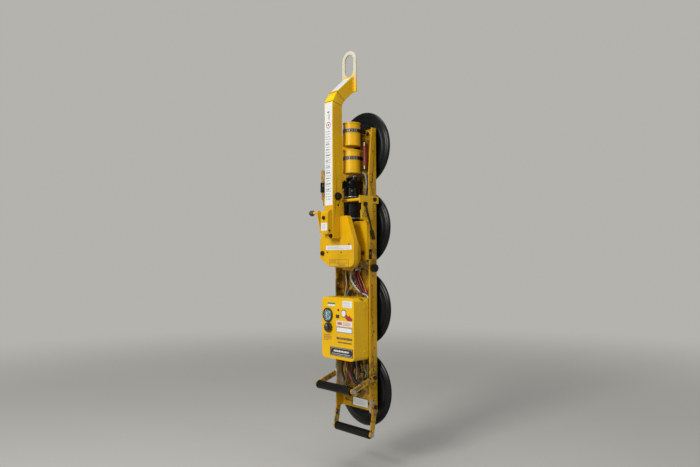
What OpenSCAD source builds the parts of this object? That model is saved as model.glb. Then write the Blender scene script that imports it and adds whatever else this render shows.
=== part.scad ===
// Powered in-line vacuum lifter with four pads.
// X runs to the operator's right, Y runs towards the load and Z runs up.
// The origin lies on the plane of the pad lips, half way between the middle two pads.

/* [Pads] */
// Diameter of each vacuum pad
pad_d = 254; // [246:1:256]
// Distance between neighbouring pad centres
pad_pitch = 275; // [274:1:277]

/* [Channel] */
// Width across the outside of the pad channel
chan_w = 172; // [170:1:174]
// Depth of the channel from its web to its front edges
chan_d = 34; // [33:0.5:35]
// Thickness of the channel's sheet
chan_t = 4.5; // [3.5:0.5:5]
// Height of the channel's top end above the origin
chan_top = 470; // [466:1:476]
// Height of the channel's bottom end
chan_bottom = -478; // [-482:1:-475]

/* [Lift arm] */
// Outside width of the square arm tube
arm_w = 42; // [41:0.5:43]
// Wall thickness of the arm tube
arm_t = 4; // [3:0.5:5]
// Height at which the arm starts to bend back
arm_bend_z = 548; // [540:1:556]
// Width of the lifting eye plate
eye_w = 69; // [64:1:74]
// Thickness of the lifting eye plate
eye_t = 6; // [5:0.5:7]
// Width of the opening in the lifting eye
eye_hole_w = 44; // [40:1:46]

/* [Hub] */
// Height of the rotation axis
hub_z = 50; // [49:0.5:51]
// Diameter of the round hub on the tilt head
hub_d = 116; // [112:1:118]
// Diameter of the rotation spindle
spindle_d = 30; // [26:1:30]
// Width of the tilt housing
housing_w = 172; // [170:1:174]
// Diameter of the tilt axle
axle_d = 12; // [10:0.5:12]

/* [Control box] */
// Width of the control box
box_w = 161; // [158:1:162]
// Height of the control box
box_h = 205; // [203:1:207]
// Diameter of the vacuum gauge's bezel
gauge_d = 47; // [46:1:48]
// Diameter of the valve knob
knob_d = 31; // [28:1:32]

/* [Handles] */
// Diameter of the rubber grips
grip_d = 28; // [26:1:29]

/* [Hidden] */
$fn = 64;

// Radial clearance of a running fit, and the gap left between neighbours
fit = 0.05;
gap = 0.1;

// Channel planes
chan_back = -26.5;
chan_front = chan_back - chan_d;
web_t = 4;
web_front = chan_back - web_t;
chan_x = chan_w / 2;
inner_x = chan_x - chan_t;

// Pads, counted from the top
pad_r = pad_d / 2;
pad_z = [for (i = [0:3]) (1.5 - i) * pad_pitch];
pad_back = -14.5;
pad_plate_t = 3;
stud_d = 16;
nut_h = 7;

// Arm planes
arm_y = -142.15;
arm_x = arm_w / 2;
arm_front = arm_y - arm_x;
arm_rear = arm_y + arm_x;
arm_bottom = 98;
eye_front = -70.5;
eye_back = eye_front + eye_t;
eye_bottom = 598;
eye_arch_z = 709;
eye_hole_z = 676;

// Tilt axis and latch
tilt_y = -99;
tilt_z = 13;
latch_z = 140;
latch_d = 12;
latch_box_x = 18.4;
latch_box_front = -183.4;
latch_box_z0 = 112.8;
latch_box_z1 = 192;
latch_tail = -170.5;
latch_collar = -134;
lever_y = -175;
lever_z = 124;
lever_top = [-188, 183];
lever_ball_x = -57;
cross_bolt_z = 237.4;
latch_screw_z = 166;
housing_bolt = [-70, 50];

// Tilt housing planes
housing_front = -129.8;
housing_back = -113;
housing_t = 5;
lug_x0 = 28;
lug_x1 = 38;

// Hub stack along the rotation axis
hub_front = tilt_y + 14;
plate_t = 8;
plate_front = chan_front - plate_t;
washer_t = 2;
lip_lean = 24;
hub_back = plate_front - gap - washer_t;
index_y0 = -49;
index_t = 8;
index_r = 60;
bush_d = 38;
nut_y1 = -34;
lock_z = hub_z;
lock_d = 10;
lock_y = index_y0 + index_t / 2;
lock_length = 19;
lock_clearance = 1.1;
notch_depth = 9;

// Pump group
pump_x = 2;
pump_y = -60.5;
pump_d = 56;
motor_z0 = 160;
motor_z1 = 248;
pump_z1 = 312;
guard_x = chan_x + 4;
guard_front = -107;
guard_back = -20;
guard_z0 = 215;
guard_z1 = 239;
cheek_z0 = 160;
cheek_front = -100;
release_y = -84;
release_z = 211;

// Reservoirs
res_x = 17;
res_y = -74;
res_d = 58;
res_z = [412, 319.5];
res_h = 78;

// Control box planes
box_top = -97;
box_bottom = box_top - box_h;
box_front = -126.4;
box_back = chan_front;
box_split = -74;
box_t = 2.5;
box_r = 16;
gauge_x = -47;
gauge_z = -157.6;
knob_x = -41;
knob_z = -198.5;
switch_x = 0;
switch_z = -160;
lamp_x = 5;
lamp_z = -138.5;

// Handles
bar_w = 18;
bar_t = 5;
upper_root = [-44, -361];
upper_end = [-139, -393];
lower_root = [-42, -458];
lower_end = [-58, -546];
rod_d = 16;

YELLOW = "#dfa51a";
STEEL = "#b9bcc0";
DARK = "#25272a";
RUBBER = "#1a1d1f";

// ---- building blocks ----

module block(x, y, z) {
    translate([x[0], y[0], z[0]])
        cube([x[1] - x[0], y[1] - y[0], z[1] - z[0]]);
}

module rod_x(d, x0, x1) {
    translate([x0, 0, 0])
        rotate([0, 90, 0])
            cylinder(d = d, h = x1 - x0);
}

module rod_y(d, y0, y1) {
    translate([0, y0, 0])
        rotate([-90, 0, 0])
            cylinder(d = d, h = y1 - y0);
}

module rod_z(d, z0, z1) {
    translate([0, 0, z0])
        cylinder(d = d, h = z1 - z0);
}

// A flat outline drawn in Y and Z, made thick along X
module slab_x(x0, x1) {
    translate([x0, 0, 0])
        rotate([90, 0, 90])
            linear_extrude(x1 - x0)
                children();
}

// A flat outline drawn in X and Z, made thick along Y
module slab_y(y0, y1) {
    translate([0, y1, 0])
        rotate([90, 0, 0])
            linear_extrude(y1 - y0)
                children();
}

module both_sides() {
    children();
    mirror([1, 0, 0])
        children();
}

module round_rect(x0, x1, z0, z1, r) {
    translate([x0 + r, z0])
        square([x1 - x0 - 2 * r, z1 - z0]);
    translate([x0, z0 + r])
        square([x1 - x0, z1 - z0 - 2 * r]);
    for (x = [x0 + r, x1 - r], z = [z0 + r, z1 - r])
        translate([x, z])
            circle(r);
}

// A bar between two points of the Y-Z plane, with round ends a little wider than its sides
module link_2d(a, b, w) {
    v = b - a;
    side = 0.97 * w;
    translate(a)
        rotate(atan2(v[1], v[0]))
            translate([0, -side / 2])
                square([norm(v), side]);
    translate(a)
        circle(d = w);
    translate(b)
        circle(d = w);
}

// A round bar between two points
module bar(a, b, d) {
    v = b - a;
    translate(a)
        rotate([0, acos(v[2] / norm(v)), atan2(v[1], v[0])])
            cylinder(d = d, h = norm(v));
}

// A round tube that follows a list of points, with a ball at each corner
module pipe(points, d) {
    for (i = [0:len(points) - 2])
        bar(points[i], points[i + 1], d);
    if (len(points) > 2)
        for (i = [1:len(points) - 2])
            translate(points[i])
                sphere(d = d + 0.4);
}

// Rings that stand for the turns of a coil spring along Y
module coil_y(y0, y1, d, wire, turns) {
    for (i = [0:turns - 1])
        translate([0, y0 + wire / 2 + i * (y1 - y0 - wire) / (turns - 1), 0])
            rotate([90, 0, 0])
                rotate_extrude()
                    translate([(d - wire) / 2, 0])
                        circle(d = wire, $fn = 24);
}

function unit(v) = v / norm(v);
function left_of(v) = [-v[1], v[0]];

// The points of a mitred line that runs at distance d beside a path
function beside(path, d) = [
    for (i = [0:len(path) - 1])
        let (
            last = len(path) - 1,
            a = i == 0 ? unit(path[1] - path[0]) : unit(path[i] - path[i - 1]),
            b = i == last ? a : unit(path[i + 1] - path[i]),
            n = unit(left_of(a) + left_of(b))
        )
            path[i] + n * d / (n * left_of(a))
];
function reversed(v) = [for (i = [len(v) - 1:-1:0]) v[i]];

// ---- lift arm ----

arm_path = [
    [arm_y, arm_bottom], [arm_y, arm_bend_z], [arm_y + 15.6, arm_bend_z + 26.5],
    [arm_y + 15.6 + 80, arm_bend_z + 26.5 + 80 * tan(41.5)]
];
arm_core = [
    [arm_y, arm_bottom - 1], arm_path[1], arm_path[2],
    arm_path[2] + 1.1 * (arm_path[3] - arm_path[2])
];

module arm_outline(path, half) {
    polygon(concat(beside(path, half), reversed(beside(path, -half))));
}

module lifting_eye() {
    color(YELLOW)
        slab_y(eye_front, eye_back)
            difference() {
                union() {
                    translate([-eye_w / 2, eye_bottom])
                        square([eye_w, eye_arch_z - eye_bottom]);
                    translate([0, eye_arch_z])
                        circle(d = eye_w);
                }
                for (z = [eye_hole_z, eye_arch_z])
                    translate([0, z])
                        circle(d = eye_hole_w);
                translate([-eye_hole_w / 2, eye_hole_z])
                    square([eye_hole_w, eye_arch_z - eye_hole_z]);
            }
}

module lift_arm_tube() {
    color(YELLOW)
        difference() {
            intersection() {
                slab_x(-arm_x, arm_x)
                    arm_outline(arm_path, arm_x);
                block([-arm_w, arm_w], [-200, eye_front], [0, 800]);
            }
            slab_x(arm_t - arm_x, arm_x - arm_t)
                arm_outline(arm_core, arm_x - arm_t);
            translate([0, 0, latch_z])
                rod_y(latch_d + 2 * fit, arm_front - 1, arm_rear + 1);
            translate([0, arm_y, cross_bolt_z])
                rod_x(latch_d, -arm_w, arm_w);
            // open screw hole below the cross bolt
            translate([0, arm_y + 4, cross_bolt_z - 28.4])
                rod_x(8, 0, arm_w);
        }
}

// Outline of the tilt housing, drawn inset by a wall thickness
module housing_outline(t) {
    x = housing_w / 2 - t;
    corner = 24;
    difference() {
        polygon([
            [-x + 49, 5 + t], [x, 5 + t], [x, 89], [55.4 - t, 168],
            [50 - t, 173 - t], [-50 + t, 173 - t], [-55.4 + t, 168],
            [-x, 89], [-x, 34 + t]
        ]);
        difference() {
            translate([x - corner, 4 + t])
                square(corner + 1);
            translate([x - corner, 5 + t + corner])
                circle(corner);
        }
    }
}

module lug_outline() {
    difference() {
        union() {
            polygon([
                [housing_front + housing_t, 10], [housing_front + housing_t, 70],
                [tilt_y, tilt_z + 12], [tilt_y, tilt_z], [housing_back, 10]
            ]);
            translate([tilt_y, tilt_z])
                circle(12);
        }
        translate([tilt_y, tilt_z])
            circle(d = axle_d);
        translate([housing_front, 0])
            square([housing_back - housing_front, 10]);
    }
}

module tilt_housing() {
    color(YELLOW) {
        difference() {
            slab_y(housing_front, housing_back)
                housing_outline(0);
            slab_y(housing_front + housing_t, housing_back + 1)
                housing_outline(housing_t);
            block([-arm_x, arm_x], [-200, arm_rear], [arm_bottom, 300]);
            translate([housing_bolt[0], 0, housing_bolt[1]])
                rod_y(10, housing_front - 1, housing_back);
        }
        both_sides()
            slab_x(lug_x0, lug_x1)
                lug_outline();
    }
}

module tilt_axle() {
    color(STEEL)
        translate([0, tilt_y, tilt_z]) {
            rod_x(axle_d, -lug_x1 - 6, lug_x1);
            rod_x(axle_d + 7, lug_x1, lug_x1 + 5);
        }
}

// Side outline of the latch box with its rounded top
module latch_box_outline(t) {
    front = latch_box_front + t;
    top = latch_box_z1 - t;
    r = 15 - t;
    intersection() {
        union() {
            translate([front, latch_box_z0 + t])
                square([arm_front - front, top - r - latch_box_z0 - t]);
            translate([front + r, top - 2 * r])
                square([arm_front - front - r, 2 * r]);
            translate([front + r, top - r])
                circle(r);
        }
        translate([front, latch_box_z0])
            square([arm_front - front, top - latch_box_z0]);
    }
}

module latch_box() {
    wall = 2.5;
    color(YELLOW)
        difference() {
            slab_x(-latch_box_x, latch_box_x)
                latch_box_outline(0);
            slab_x(wall - latch_box_x, latch_box_x - wall)
                latch_box_outline(wall);
            block([wall - latch_box_x, latch_box_x - wall],
                  [arm_front - 4, arm_front + 1],
                  [latch_box_z0 + wall, latch_box_z1 - wall]);
            translate([0, lever_y, lever_z])
                rod_x(8 + 2 * fit, -30, 30);
            translate([0, 0, latch_screw_z])
                rod_y(6, latch_box_front - 1, latch_box_front + 5);
        }
}

// Hexagon-headed screws: the latch box's front screw and the housing bolt
module arm_screws() {
    color(DARK) {
        translate([0, 0, latch_screw_z]) {
            rod_y(6, latch_box_front, latch_box_front + 7);
            translate([0, latch_box_front - 5, 0])
                rotate([-90, 0, 0])
                    cylinder(d = 13, h = 5, $fn = 6);
        }
        translate([housing_bolt[0], 0, housing_bolt[1]]) {
            rod_y(10, housing_front, housing_back + 6);
            translate([0, housing_front - 6, 0])
                rotate([-90, 0, 0])
                    cylinder(d = 17, h = 6, $fn = 6);
            translate([0, housing_front + housing_t, 0])
                rotate([-90, 0, 0])
                    cylinder(d = 17, h = 7, $fn = 6);
        }
    }
}

module latch_pin_spring() {
    color(STEEL)
        translate([0, 0, latch_z])
            coil_y(arm_front + arm_t + gap, latch_collar - gap, 18, 2, 6);
}

module arm_cross_bolt() {
    color(DARK)
        translate([0, arm_y, cross_bolt_z]) {
            rod_x(latch_d, -arm_x - 10, arm_x + 2);
            rod_x(27, arm_x, arm_x + 3);
            translate([arm_x + 3, 0, 0])
                rotate([0, 90, 0])
                    cylinder(d = 22, h = 8, $fn = 6);
            rod_x(25, -arm_x - 3, -arm_x);
            translate([-arm_x - 12, 0, 0])
                rotate([0, 90, 0])
                    cylinder(d = 21, h = 9, $fn = 6);
        }
}

// ---- tilt release lever and its latch pin ----

module tilt_lever_bar() {
    x1 = -latch_box_x - 1;
    color(YELLOW) {
        slab_x(x1 - 4, x1)
            link_2d([lever_y, lever_z], lever_top, 15);
        translate([0, lever_y, lever_z]) {
            rod_x(8, x1 - 2, 12);
            rod_x(13, x1 - 7, x1 - 3);
        }
        // finger that draws the pin back by its tail
        translate([0, lever_y, lever_z]) {
            block([-10, -latch_d / 2 - gap], [1, 11.2], [-2.4, 2.4]);
            block([-10, -latch_d / 2 - gap], [6.8, 11.2], [-2.4, 22]);
        }
        translate([0, lever_top[0], lever_top[1]])
            rod_x(8, lever_ball_x, x1 - 2);
    }
}

module tilt_lever_ball() {
    color(DARK)
        translate([0, lever_top[0], lever_top[1]])
            difference() {
                translate([lever_ball_x, 0, 0])
                    sphere(d = 20);
                rod_x(8, lever_ball_x, 0);
            }
}

module tilt_latch_pin() {
    color(STEEL)
        translate([0, 0, latch_z]) {
            rod_y(latch_d, latch_tail, -90);
            rod_y(20, latch_collar, latch_collar + 4);
            rod_y(20, latch_tail, latch_tail + 2);
        }
}

// ---- tilt head ----

module hub_2d(d) {
    translate([0, hub_z])
        circle(d = d);
}

module tilt_head_casting() {
    tongue_y = [tilt_y, tilt_y + 8];
    color(YELLOW)
        difference() {
            union() {
                slab_y(hub_front, hub_back)
                    hub_2d(hub_d);
                translate([0, tilt_y, tilt_z])
                    rod_x(24, -lug_x0 + 0.5, lug_x0 - 0.5);
                block([-22, 22], [tilt_y, hub_front], [tilt_z - 2, tilt_z + 60]);
                block([-18, 18], tongue_y, [tilt_z + 40, 158]);
                block([-18, 18], [tongue_y[0], hub_back], [tilt_z + 40, 96]);
            }
            translate([0, tilt_y, tilt_z])
                rod_x(axle_d + 4, -40, 40);
            translate([0, 0, latch_z])
                rod_y(latch_d + 0.6, tilt_y - 1, tilt_y + 9);
            translate([0, 0, hub_z])
                rod_y(spindle_d, tilt_y + 4, 0);
        }
}

module tilt_bushes() {
    color("#b08d4a")
        translate([0, tilt_y, tilt_z])
            both_sides()
                difference() {
                    rod_x(axle_d + 4, 2, lug_x0 - 0.5);
                    rod_x(axle_d + 2 * fit, 0, lug_x0);
                }
}

module thrust_washers() {
    color("#b08d4a") {
        slab_y(hub_back, hub_back + washer_t)
            difference() {
                hub_2d(96);
                hub_2d(spindle_d);
            }
        slab_y(chan_front + gap, chan_front + gap + washer_t)
            difference() {
                hub_2d(64);
                hub_2d(spindle_d);
            }
    }
}

module rotation_spindle() {
    color(STEEL)
        translate([0, 0, hub_z]) {
            rod_y(spindle_d, tilt_y + 4, nut_y1 + 2);
            difference() {
                rod_y(44, chan_front + gap + washer_t, index_y0);
                rod_y(spindle_d - 1, chan_front, index_y0 + 1);
            }
        }
}

module index_disc() {
    notch = lock_d + 0.4;
    color(STEEL)
        slab_y(index_y0, index_y0 + index_t)
            difference() {
                hub_2d(2 * index_r);
                hub_2d(spindle_d);
                for (a = [0:90:270])
                    translate([0, hub_z])
                        rotate(a)
                            translate([index_r - notch_depth, -notch / 2])
                                square([notch_depth + 3, notch]);
            }
}

module spindle_nut() {
    color(STEEL)
        difference() {
            translate([0, index_y0 + index_t, hub_z])
                rotate([-90, 0, 0])
                    cylinder(d = 50, h = nut_y1 - index_y0 - index_t, $fn = 6);
            translate([0, 0, hub_z])
                rod_y(spindle_d, -80, 0);
        }
}

// ---- pad frame ----

module flange_outline() {
    window = [29, 62];
    polygon([
        [chan_back, chan_bottom], [chan_back, chan_top],
        [chan_front + 14, chan_top], [chan_front, chan_top - 150],
        [chan_front, window[1]], [chan_front + 15, window[1]],
        [chan_front + 15, window[0]], [chan_front, window[0]],
        [chan_front, chan_bottom + 6], [chan_front + 6, chan_bottom]
    ]);
}

module frame_channel() {
    color(YELLOW)
        difference() {
            union() {
                block([-chan_x, chan_x], [web_front, chan_back],
                      [chan_bottom, chan_top]);
                both_sides()
                    slab_x(inner_x, chan_x)
                        flange_outline();
            }
            for (z = pad_z)
                translate([0, 0, z])
                    rod_y(stud_d + 2 * fit, web_front - 1, chan_back + 1);
            // bolt holes near the corners of the web
            for (z = [chan_bottom + 22, chan_top - 22], x = [-66, 66])
                translate([x, 0, z])
                    rod_y(9, web_front - 1, chan_back + 1);
            // small rivet holes down both flanges
            for (z = [-420, -290, -225, -160, -55, 285])
                translate([0, chan_front + 11, z])
                    rod_x(5, -chan_x - 1, chan_x + 1);
            // slot above the pump guard
            block([inner_x - 1, chan_x + 1], [-45, -40], [245, 265]);
        }
}

module rotation_plate() {
    x = inner_x + 2;
    r = 12;
    color(YELLOW) {
        difference() {
            union() {
                slab_y(plate_front, chan_front)
                    difference() {
                        union() {
                            round_rect(-x, x, 27, 157, r);
                            translate([-x, 27])
                                square([2 * x, 2 * r]);
                        }
                        hub_2d(bush_d);
                    }
                // folded lip below the plate
                translate([0, plate_front + 2, 27])
                    rotate([lip_lean, 0, 0])
                        slab_y(-1.5, 3)
                            polygon([
                                [36, -14], [36, 0.5], [74, 0.5], [80, -14],
                                [72, -34], [60, -34]
                            ]);
            }
            for (s = [-1, 1])
                translate([s * 66, 0, hub_z])
                    rod_y(8, -80, -50);
        }
        // guide block of the rotation lock pin
        difference() {
            block([63, 69], [chan_front, -39.5], [lock_z - 11, lock_z + 11]);
            translate([0, lock_y, lock_z])
                rod_x(lock_d + 2 * fit, 60, 80);
            translate([66, 0, hub_z])
                rod_y(8, -80, -55);
        }
    }
}

module rotation_bush() {
    color("#b08d4a")
        slab_y(plate_front, chan_front)
            difference() {
                hub_2d(bush_d);
                hub_2d(spindle_d + 2 * fit);
            }
}

module bolt_out(x, len) {
    // a hexagon bolt through a side plate, head outwards at x
    rod_x(8, x - len, x);
    translate([x, 0, 0])
        rotate([0, 90, 0])
            cylinder(d = 14, h = 5.5, $fn = 6);
}

// Bolts of the rotation plate, the pump guard and both handles
module frame_bolts() {
    color(DARK) {
        for (s = [-1, 1])
            translate([s * 66, 0, hub_z]) {
                rod_y(8, plate_front, -55);
                rod_y(13, plate_front - 4.5, plate_front);
            }
        both_sides() {
            translate([0, -40, 228])
                bolt_out(guard_x, 4 - gap);
            for (p = [upper_root, lower_root])
                translate([0, p[0], p[1]])
                    bolt_out(chan_x + bar_t, bar_t - gap);
        }
    }
}

// Cheek plates on both flanges, joined by a bar across the front
module pump_guard() {
    step = 4;
    color(YELLOW)
        difference() {
            union() {
                both_sides()
                    slab_x(chan_x, guard_x) {
                        translate([guard_front, guard_z0])
                            square([guard_back - guard_front, guard_z1 - guard_z0]);
                        translate([cheek_front + step, cheek_z0])
                            square([chan_front + 12 - cheek_front - step,
                                    guard_z0 - cheek_z0]);
                        translate([cheek_front, cheek_z0])
                            square([step + 1, 32]);
                    }
                translate([0, guard_front + 5, 226])
                    rod_x(10, -chan_x, chan_x);
            }
            translate([0, -40, 228])
                rod_x(8, -100, 100);
            translate([0, release_y, release_z])
                rod_x(8, 80, 100);
        }
}

// Rubber buffer on the right flange
module side_buffer() {
    color(RUBBER)
        translate([0, -45, 0]) {
            rod_x(13, chan_x, chan_x + 4);
            rod_x(26, chan_x + 4, chan_x + 14);
        }
}

module pump_motor_can() {
    wall = 2.5;
    color(DARK)
        translate([pump_x, pump_y, 0])
            difference() {
                rod_z(pump_d, motor_z0, motor_z1);
                rod_z(pump_d - 2 * wall, motor_z0 + wall, motor_z1 - wall);
                rod_z(6 + 2 * fit, motor_z0 + 1, motor_z1 + 1);
            }
}

module pump_rotor() {
    color(STEEL)
        translate([pump_x, pump_y, 0]) {
            rod_z(6, motor_z0 + 2, motor_z1 + 11);
            rod_z(36, motor_z0 + 16, motor_z1 - 16);
            translate([2, 0, 0])
                rod_z(14, motor_z1 + 5, motor_z1 + 11);
        }
}

// Twin-chamber pump head on top of the motor
module pump_head() {
    color(DARK)
        translate([pump_x, pump_y, 0])
            difference() {
                union() {
                    rod_z(pump_d, motor_z1, motor_z1 + 22);
                    block([-25, 25], [-24, 26], [motor_z1 + 22, motor_z1 + 46]);
                    for (x = [-13, 13])
                        translate([x, 0, 0])
                            rod_z(22, motor_z1 + 46, pump_z1 - 4);
                    for (y = [-17, 19], x = [-19, 19])
                        translate([x, y, 0])
                            rod_z(7, motor_z1 + 46, motor_z1 + 51);
                }
                rod_z(38, motor_z1 - 1, motor_z1 + 16);
            }
}

module reservoirs() {
    rim = 3;
    color(YELLOW)
        translate([res_x, res_y, 0])
            for (z = res_z)
                difference() {
                    union() {
                        rod_z(res_d, z, z + res_h);
                        rod_z(res_d + rim, z, z + 4);
                        rod_z(res_d + rim, z + res_h - 4, z + res_h);
                    }
                    rod_z(res_d - 5, z + 3, z + res_h - 3);
                }
}

// Clamp bands that hold the reservoirs to the web
module reservoir_straps() {
    band = 1.5;
    color(DARK)
        for (z = res_z)
            translate([res_x, res_y, 0]) {
                difference() {
                    rod_z(res_d + 2 * band, z + 44, z + 56);
                    rod_z(res_d, z + 43, z + 57);
                    block([-20, 20], [20, 40], [z + 43, z + 57]);
                }
                for (s = [-1, 1])
                    block([s * 22 - 1, s * 22 + 1],
                          [20.7, web_front - res_y], [z + 44, z + 56]);
            }
}

// Vacuum lines along the channel and between the main components
module vacuum_hoses() {
    color("#8c2a20") {
        // riser beside the reservoirs
        pipe([[50, -44, 412], [50, -44, 345]], 13);
        // main line past the hub to the control box
        pipe([[60, -44, 300], [73, -34.2, 150], [73, -34.2, -30], [56, -44, -90]], 7);
        // branch lines to the lower pads
        pipe([[-60, -40, -92], [-60, -40, 20]], 7);
        pipe([[-40, -45, -312], [-40, -45, -350], [-14, -45, -392]], 8);
    }
}

module hose_fittings() {
    color("#b08d4a") {
        for (z = [412, 333])
            translate([50, -44, z])
                rod_z(16, 0, 12);
        translate([38, -48, -370])
            rod_z(20, -14, 20);
        translate([38, -48, -370])
            rod_y(12, -22, -10);
        translate([58, -42, -350])
            rod_z(12, -30, 30);
    }
}

// Filter with a screw-on bowl, carried on the guard's left side
module inlet_filter() {
    color(DARK)
        translate([-guard_x - 13, -96, 0]) {
            rod_z(18, 238, 262);
            rod_z(24, 262, 300);
            rod_z(20, 300, 340);
            block([6, 13], [-8, 8], [222, 250]);
        }
}

// ---- control box ----

module box_outline(t) {
    round_rect(-box_w / 2 + t, box_w / 2 - t, box_bottom + t, box_top - t, box_r - t);
}

module control_box_cover() {
    color(YELLOW)
        difference() {
            slab_y(box_front, box_split)
                box_outline(0);
            slab_y(box_front + box_t, box_split + 1)
                box_outline(box_t);
            translate([gauge_x, 0, gauge_z])
                rod_y(gauge_d - 5, box_front - 1, box_front + 5);
            translate([knob_x, 0, knob_z])
                rod_y(10, box_front - 1, box_front + 5);
            translate([lamp_x, 0, lamp_z])
                rod_y(6, box_front - 1, box_front + 5);
            block([switch_x - 9, switch_x + 9], [box_front - 1, box_front + 5],
                  [switch_z - 5.5, switch_z + 5.5]);
            for (x = [-30, 30])
                translate([x, -100, box_bottom])
                    rod_z(10, -1, 5);
            screw_holes();
        }
}

// Cross holes for the screws through both side walls
module screw_holes() {
    for (z = [box_top - 30, box_bottom + 30])
        translate([0, box_split - 5, z])
            rod_x(4, -box_w, box_w);
}

module control_box_tray() {
    color(YELLOW)
        difference() {
            union() {
                slab_y(box_split, box_back)
                    box_outline(0);
                slab_y(box_split - 8, box_split)
                    difference() {
                        box_outline(box_t + gap);
                        box_outline(2 * box_t);
                    }
            }
            slab_y(box_split - 9, box_back - box_t)
                box_outline(2 * box_t);
            screw_holes();
        }
}

module box_screws() {
    color(STEEL)
        for (z = [box_top - 30, box_bottom + 30], s = [-1, 1])
            translate([s * box_w / 2, box_split - 5, z])
                rotate([0, s * 90, 0]) {
                    cylinder(d = 9, h = 2.5);
                    translate([0, 0, -7])
                        cylinder(d = 4, h = 7);
                }
}

module gauge_case() {
    color(DARK)
        translate([gauge_x, 0, gauge_z])
            difference() {
                union() {
                    rod_y(gauge_d, box_front - 6, box_front);
                    rod_y(gauge_d - 5, box_front, box_front + 24);
                    rod_y(12, box_front + 24, box_front + 34);
                }
                rod_y(gauge_d - 9, box_front - 7, box_front + 6);
            }
}

module gauge_dial() {
    color("white")
        translate([gauge_x, 0, gauge_z])
            difference() {
                rod_y(gauge_d - 9, box_front + 5, box_front + 6);
                rod_y(3 + 2 * fit, box_front, box_front + 8);
            }
}

module gauge_needle() {
    y = box_front + 1.5;
    color("red")
        translate([gauge_x, 0, gauge_z]) {
            rod_y(3, y - 1, y + 4.4);
            rod_y(6, y - 1, y + 1);
            slab_y(y, y + 1)
                polygon([[-15, -10.5], [-13.8, -12.1], [6, 3], [4, 5.4]]);
        }
}

module gauge_lens() {
    color("lightcyan", 0.4)
        translate([gauge_x, 0, gauge_z])
            rod_y(gauge_d - 9, box_front - 5, box_front - 2.5);
}

module valve_body() {
    color("#b08d4a")
        translate([knob_x, 0, knob_z])
            difference() {
                union() {
                    block([-14, 14], [box_front + box_t, box_front + 30], [-14, 12]);
                    rod_y(8, box_front + 30, box_front + 40);
                }
                rod_y(8 + 2 * fit, box_front, box_front + 12);
            }
}

module valve_knob() {
    color(DARK)
        translate([knob_x, 0, knob_z])
            difference() {
                union() {
                    rod_y(8, box_front - 2, box_front + 11);
                    rod_y(knob_d, box_front - 12, box_front - 2);
                    rod_y(knob_d - 8, box_front - 15, box_front - 2);
                }
                for (a = [0:30:330])
                    rotate([0, a, 0])
                        translate([knob_d / 2 + 1, 0, 0])
                            rod_y(5, box_front - 13, box_front - 1);
            }
}

// Rocker that tips about an axis along Z, behind the cover
module power_switch() {
    color(DARK)
        translate([switch_x, box_front + 1, switch_z])
            difference() {
                intersection() {
                    translate([0, 6, -5])
                        cylinder(r = 10, h = 10);
                    block([-7.2, 7.2], [-12, 12], [-5, 5]);
                }
                block([-8, 8], [6, 14], [-6, 6]);
            }
}

module indicator_lamp() {
    color("red")
        translate([lamp_x, 0, lamp_z]) {
            rod_y(6, box_front, box_front + 12);
            rod_y(8, box_front - 2, box_front);
        }
}

module battery() {
    color(DARK)
        block([-68, 68], [-118, -68], [box_bottom + 8, box_bottom + 78]);
}

module circuit_board() {
    color("#1e5b34") {
        block([-60, 60], [-74, -72.4], [-206, -116]);
        block([-50, -20], [-80, -74], [-150, -130]);
        block([10, 44], [-86, -74], [-196, -168]);
        for (x = [-10, 0, 10])
            translate([x, -74.5, -140])
                rod_y(8, -10, 1);
    }
}

module vacuum_switch() {
    color(STEEL)
        translate([38, 0, -140]) {
            rod_y(26, -104, -88);
            rod_y(10, -112, -104);
            rod_y(14, -88, -74);
        }
}

// ---- handles ----

// Two flat arms joined by a round bar
module handle_frame(root, tip) {
    x0 = chan_x;
    x1 = chan_x + bar_t;
    color(YELLOW)
        difference() {
            union() {
                both_sides()
                    slab_x(x0, x1)
                        link_2d(root, tip, bar_w);
                translate([0, tip[0], tip[1]])
                    rod_x(rod_d, -x0 - 1, x0 + 1);
            }
            translate([0, root[0], root[1]])
                rod_x(8, -100, 100);
        }
}

module handle_grip(tip) {
    x = chan_x - 4;
    color(RUBBER)
        translate([0, tip[0], tip[1]])
            difference() {
                rod_x(grip_d, -x, x);
                rod_x(rod_d, -x - 1, x + 1);
            }
}

module upper_handle_frame() {
    handle_frame(upper_root, upper_end);
}

module upper_handle_grip() {
    handle_grip(upper_end);
}

module lower_handle_frame() {
    handle_frame(lower_root, lower_end);
}

module lower_handle_grip() {
    handle_grip(lower_end);
}

// ---- rotation release ----

module rotation_lever() {
    top = [release_y, release_z];
    tip = [-47, 95];
    mid = top + 0.74 * (tip - top);
    x = guard_x + 4;
    color(DARK) {
        translate([0, top[0], top[1]]) {
            rod_x(8 - 2 * fit, chan_x - 4, guard_x + 2);
            rod_x(14, guard_x + gap, x + 3);
        }
        bar([x, top[0], top[1]], [x, mid[0], mid[1]], 6);
        bar([x, mid[0], mid[1]], [x, tip[0], tip[1]], 11);
    }
}

// Drawn clear of the disc as it stands; the lever drives it into a notch
module rotation_lock_pin() {
    tip = index_r + lock_clearance;
    color(STEEL)
        translate([tip, lock_y, lock_z]) {
            rod_x(lock_d, 0, lock_length);
            rod_x(lock_d + 3, lock_length - 1.5, lock_length);
        }
}

// ---- pads ----

module pad_springs() {
    color(STEEL)
        for (z = pad_z)
            translate([0, 0, z])
                coil_y(chan_back + gap, pad_back - pad_plate_t - gap, 32, 2, 3);
}

// Rubber disc with a thin lip, a shallow cavity and an air hole
module vacuum_pad(i) {
    r = pad_r;
    color(RUBBER)
        translate([0, 0, pad_z[i]])
            rotate([-90, 0, 0])
                rotate_extrude($fn = 128)
                    polygon([
                        [4, pad_back], [r - 29, pad_back], [r - 9, -9],
                        [r, -3.2], [r, -0.8], [r - 1.5, 0], [r - 6, 0],
                        [r - 13, -5], [r - 23, -7], [4, -7]
                    ]);
}

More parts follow.
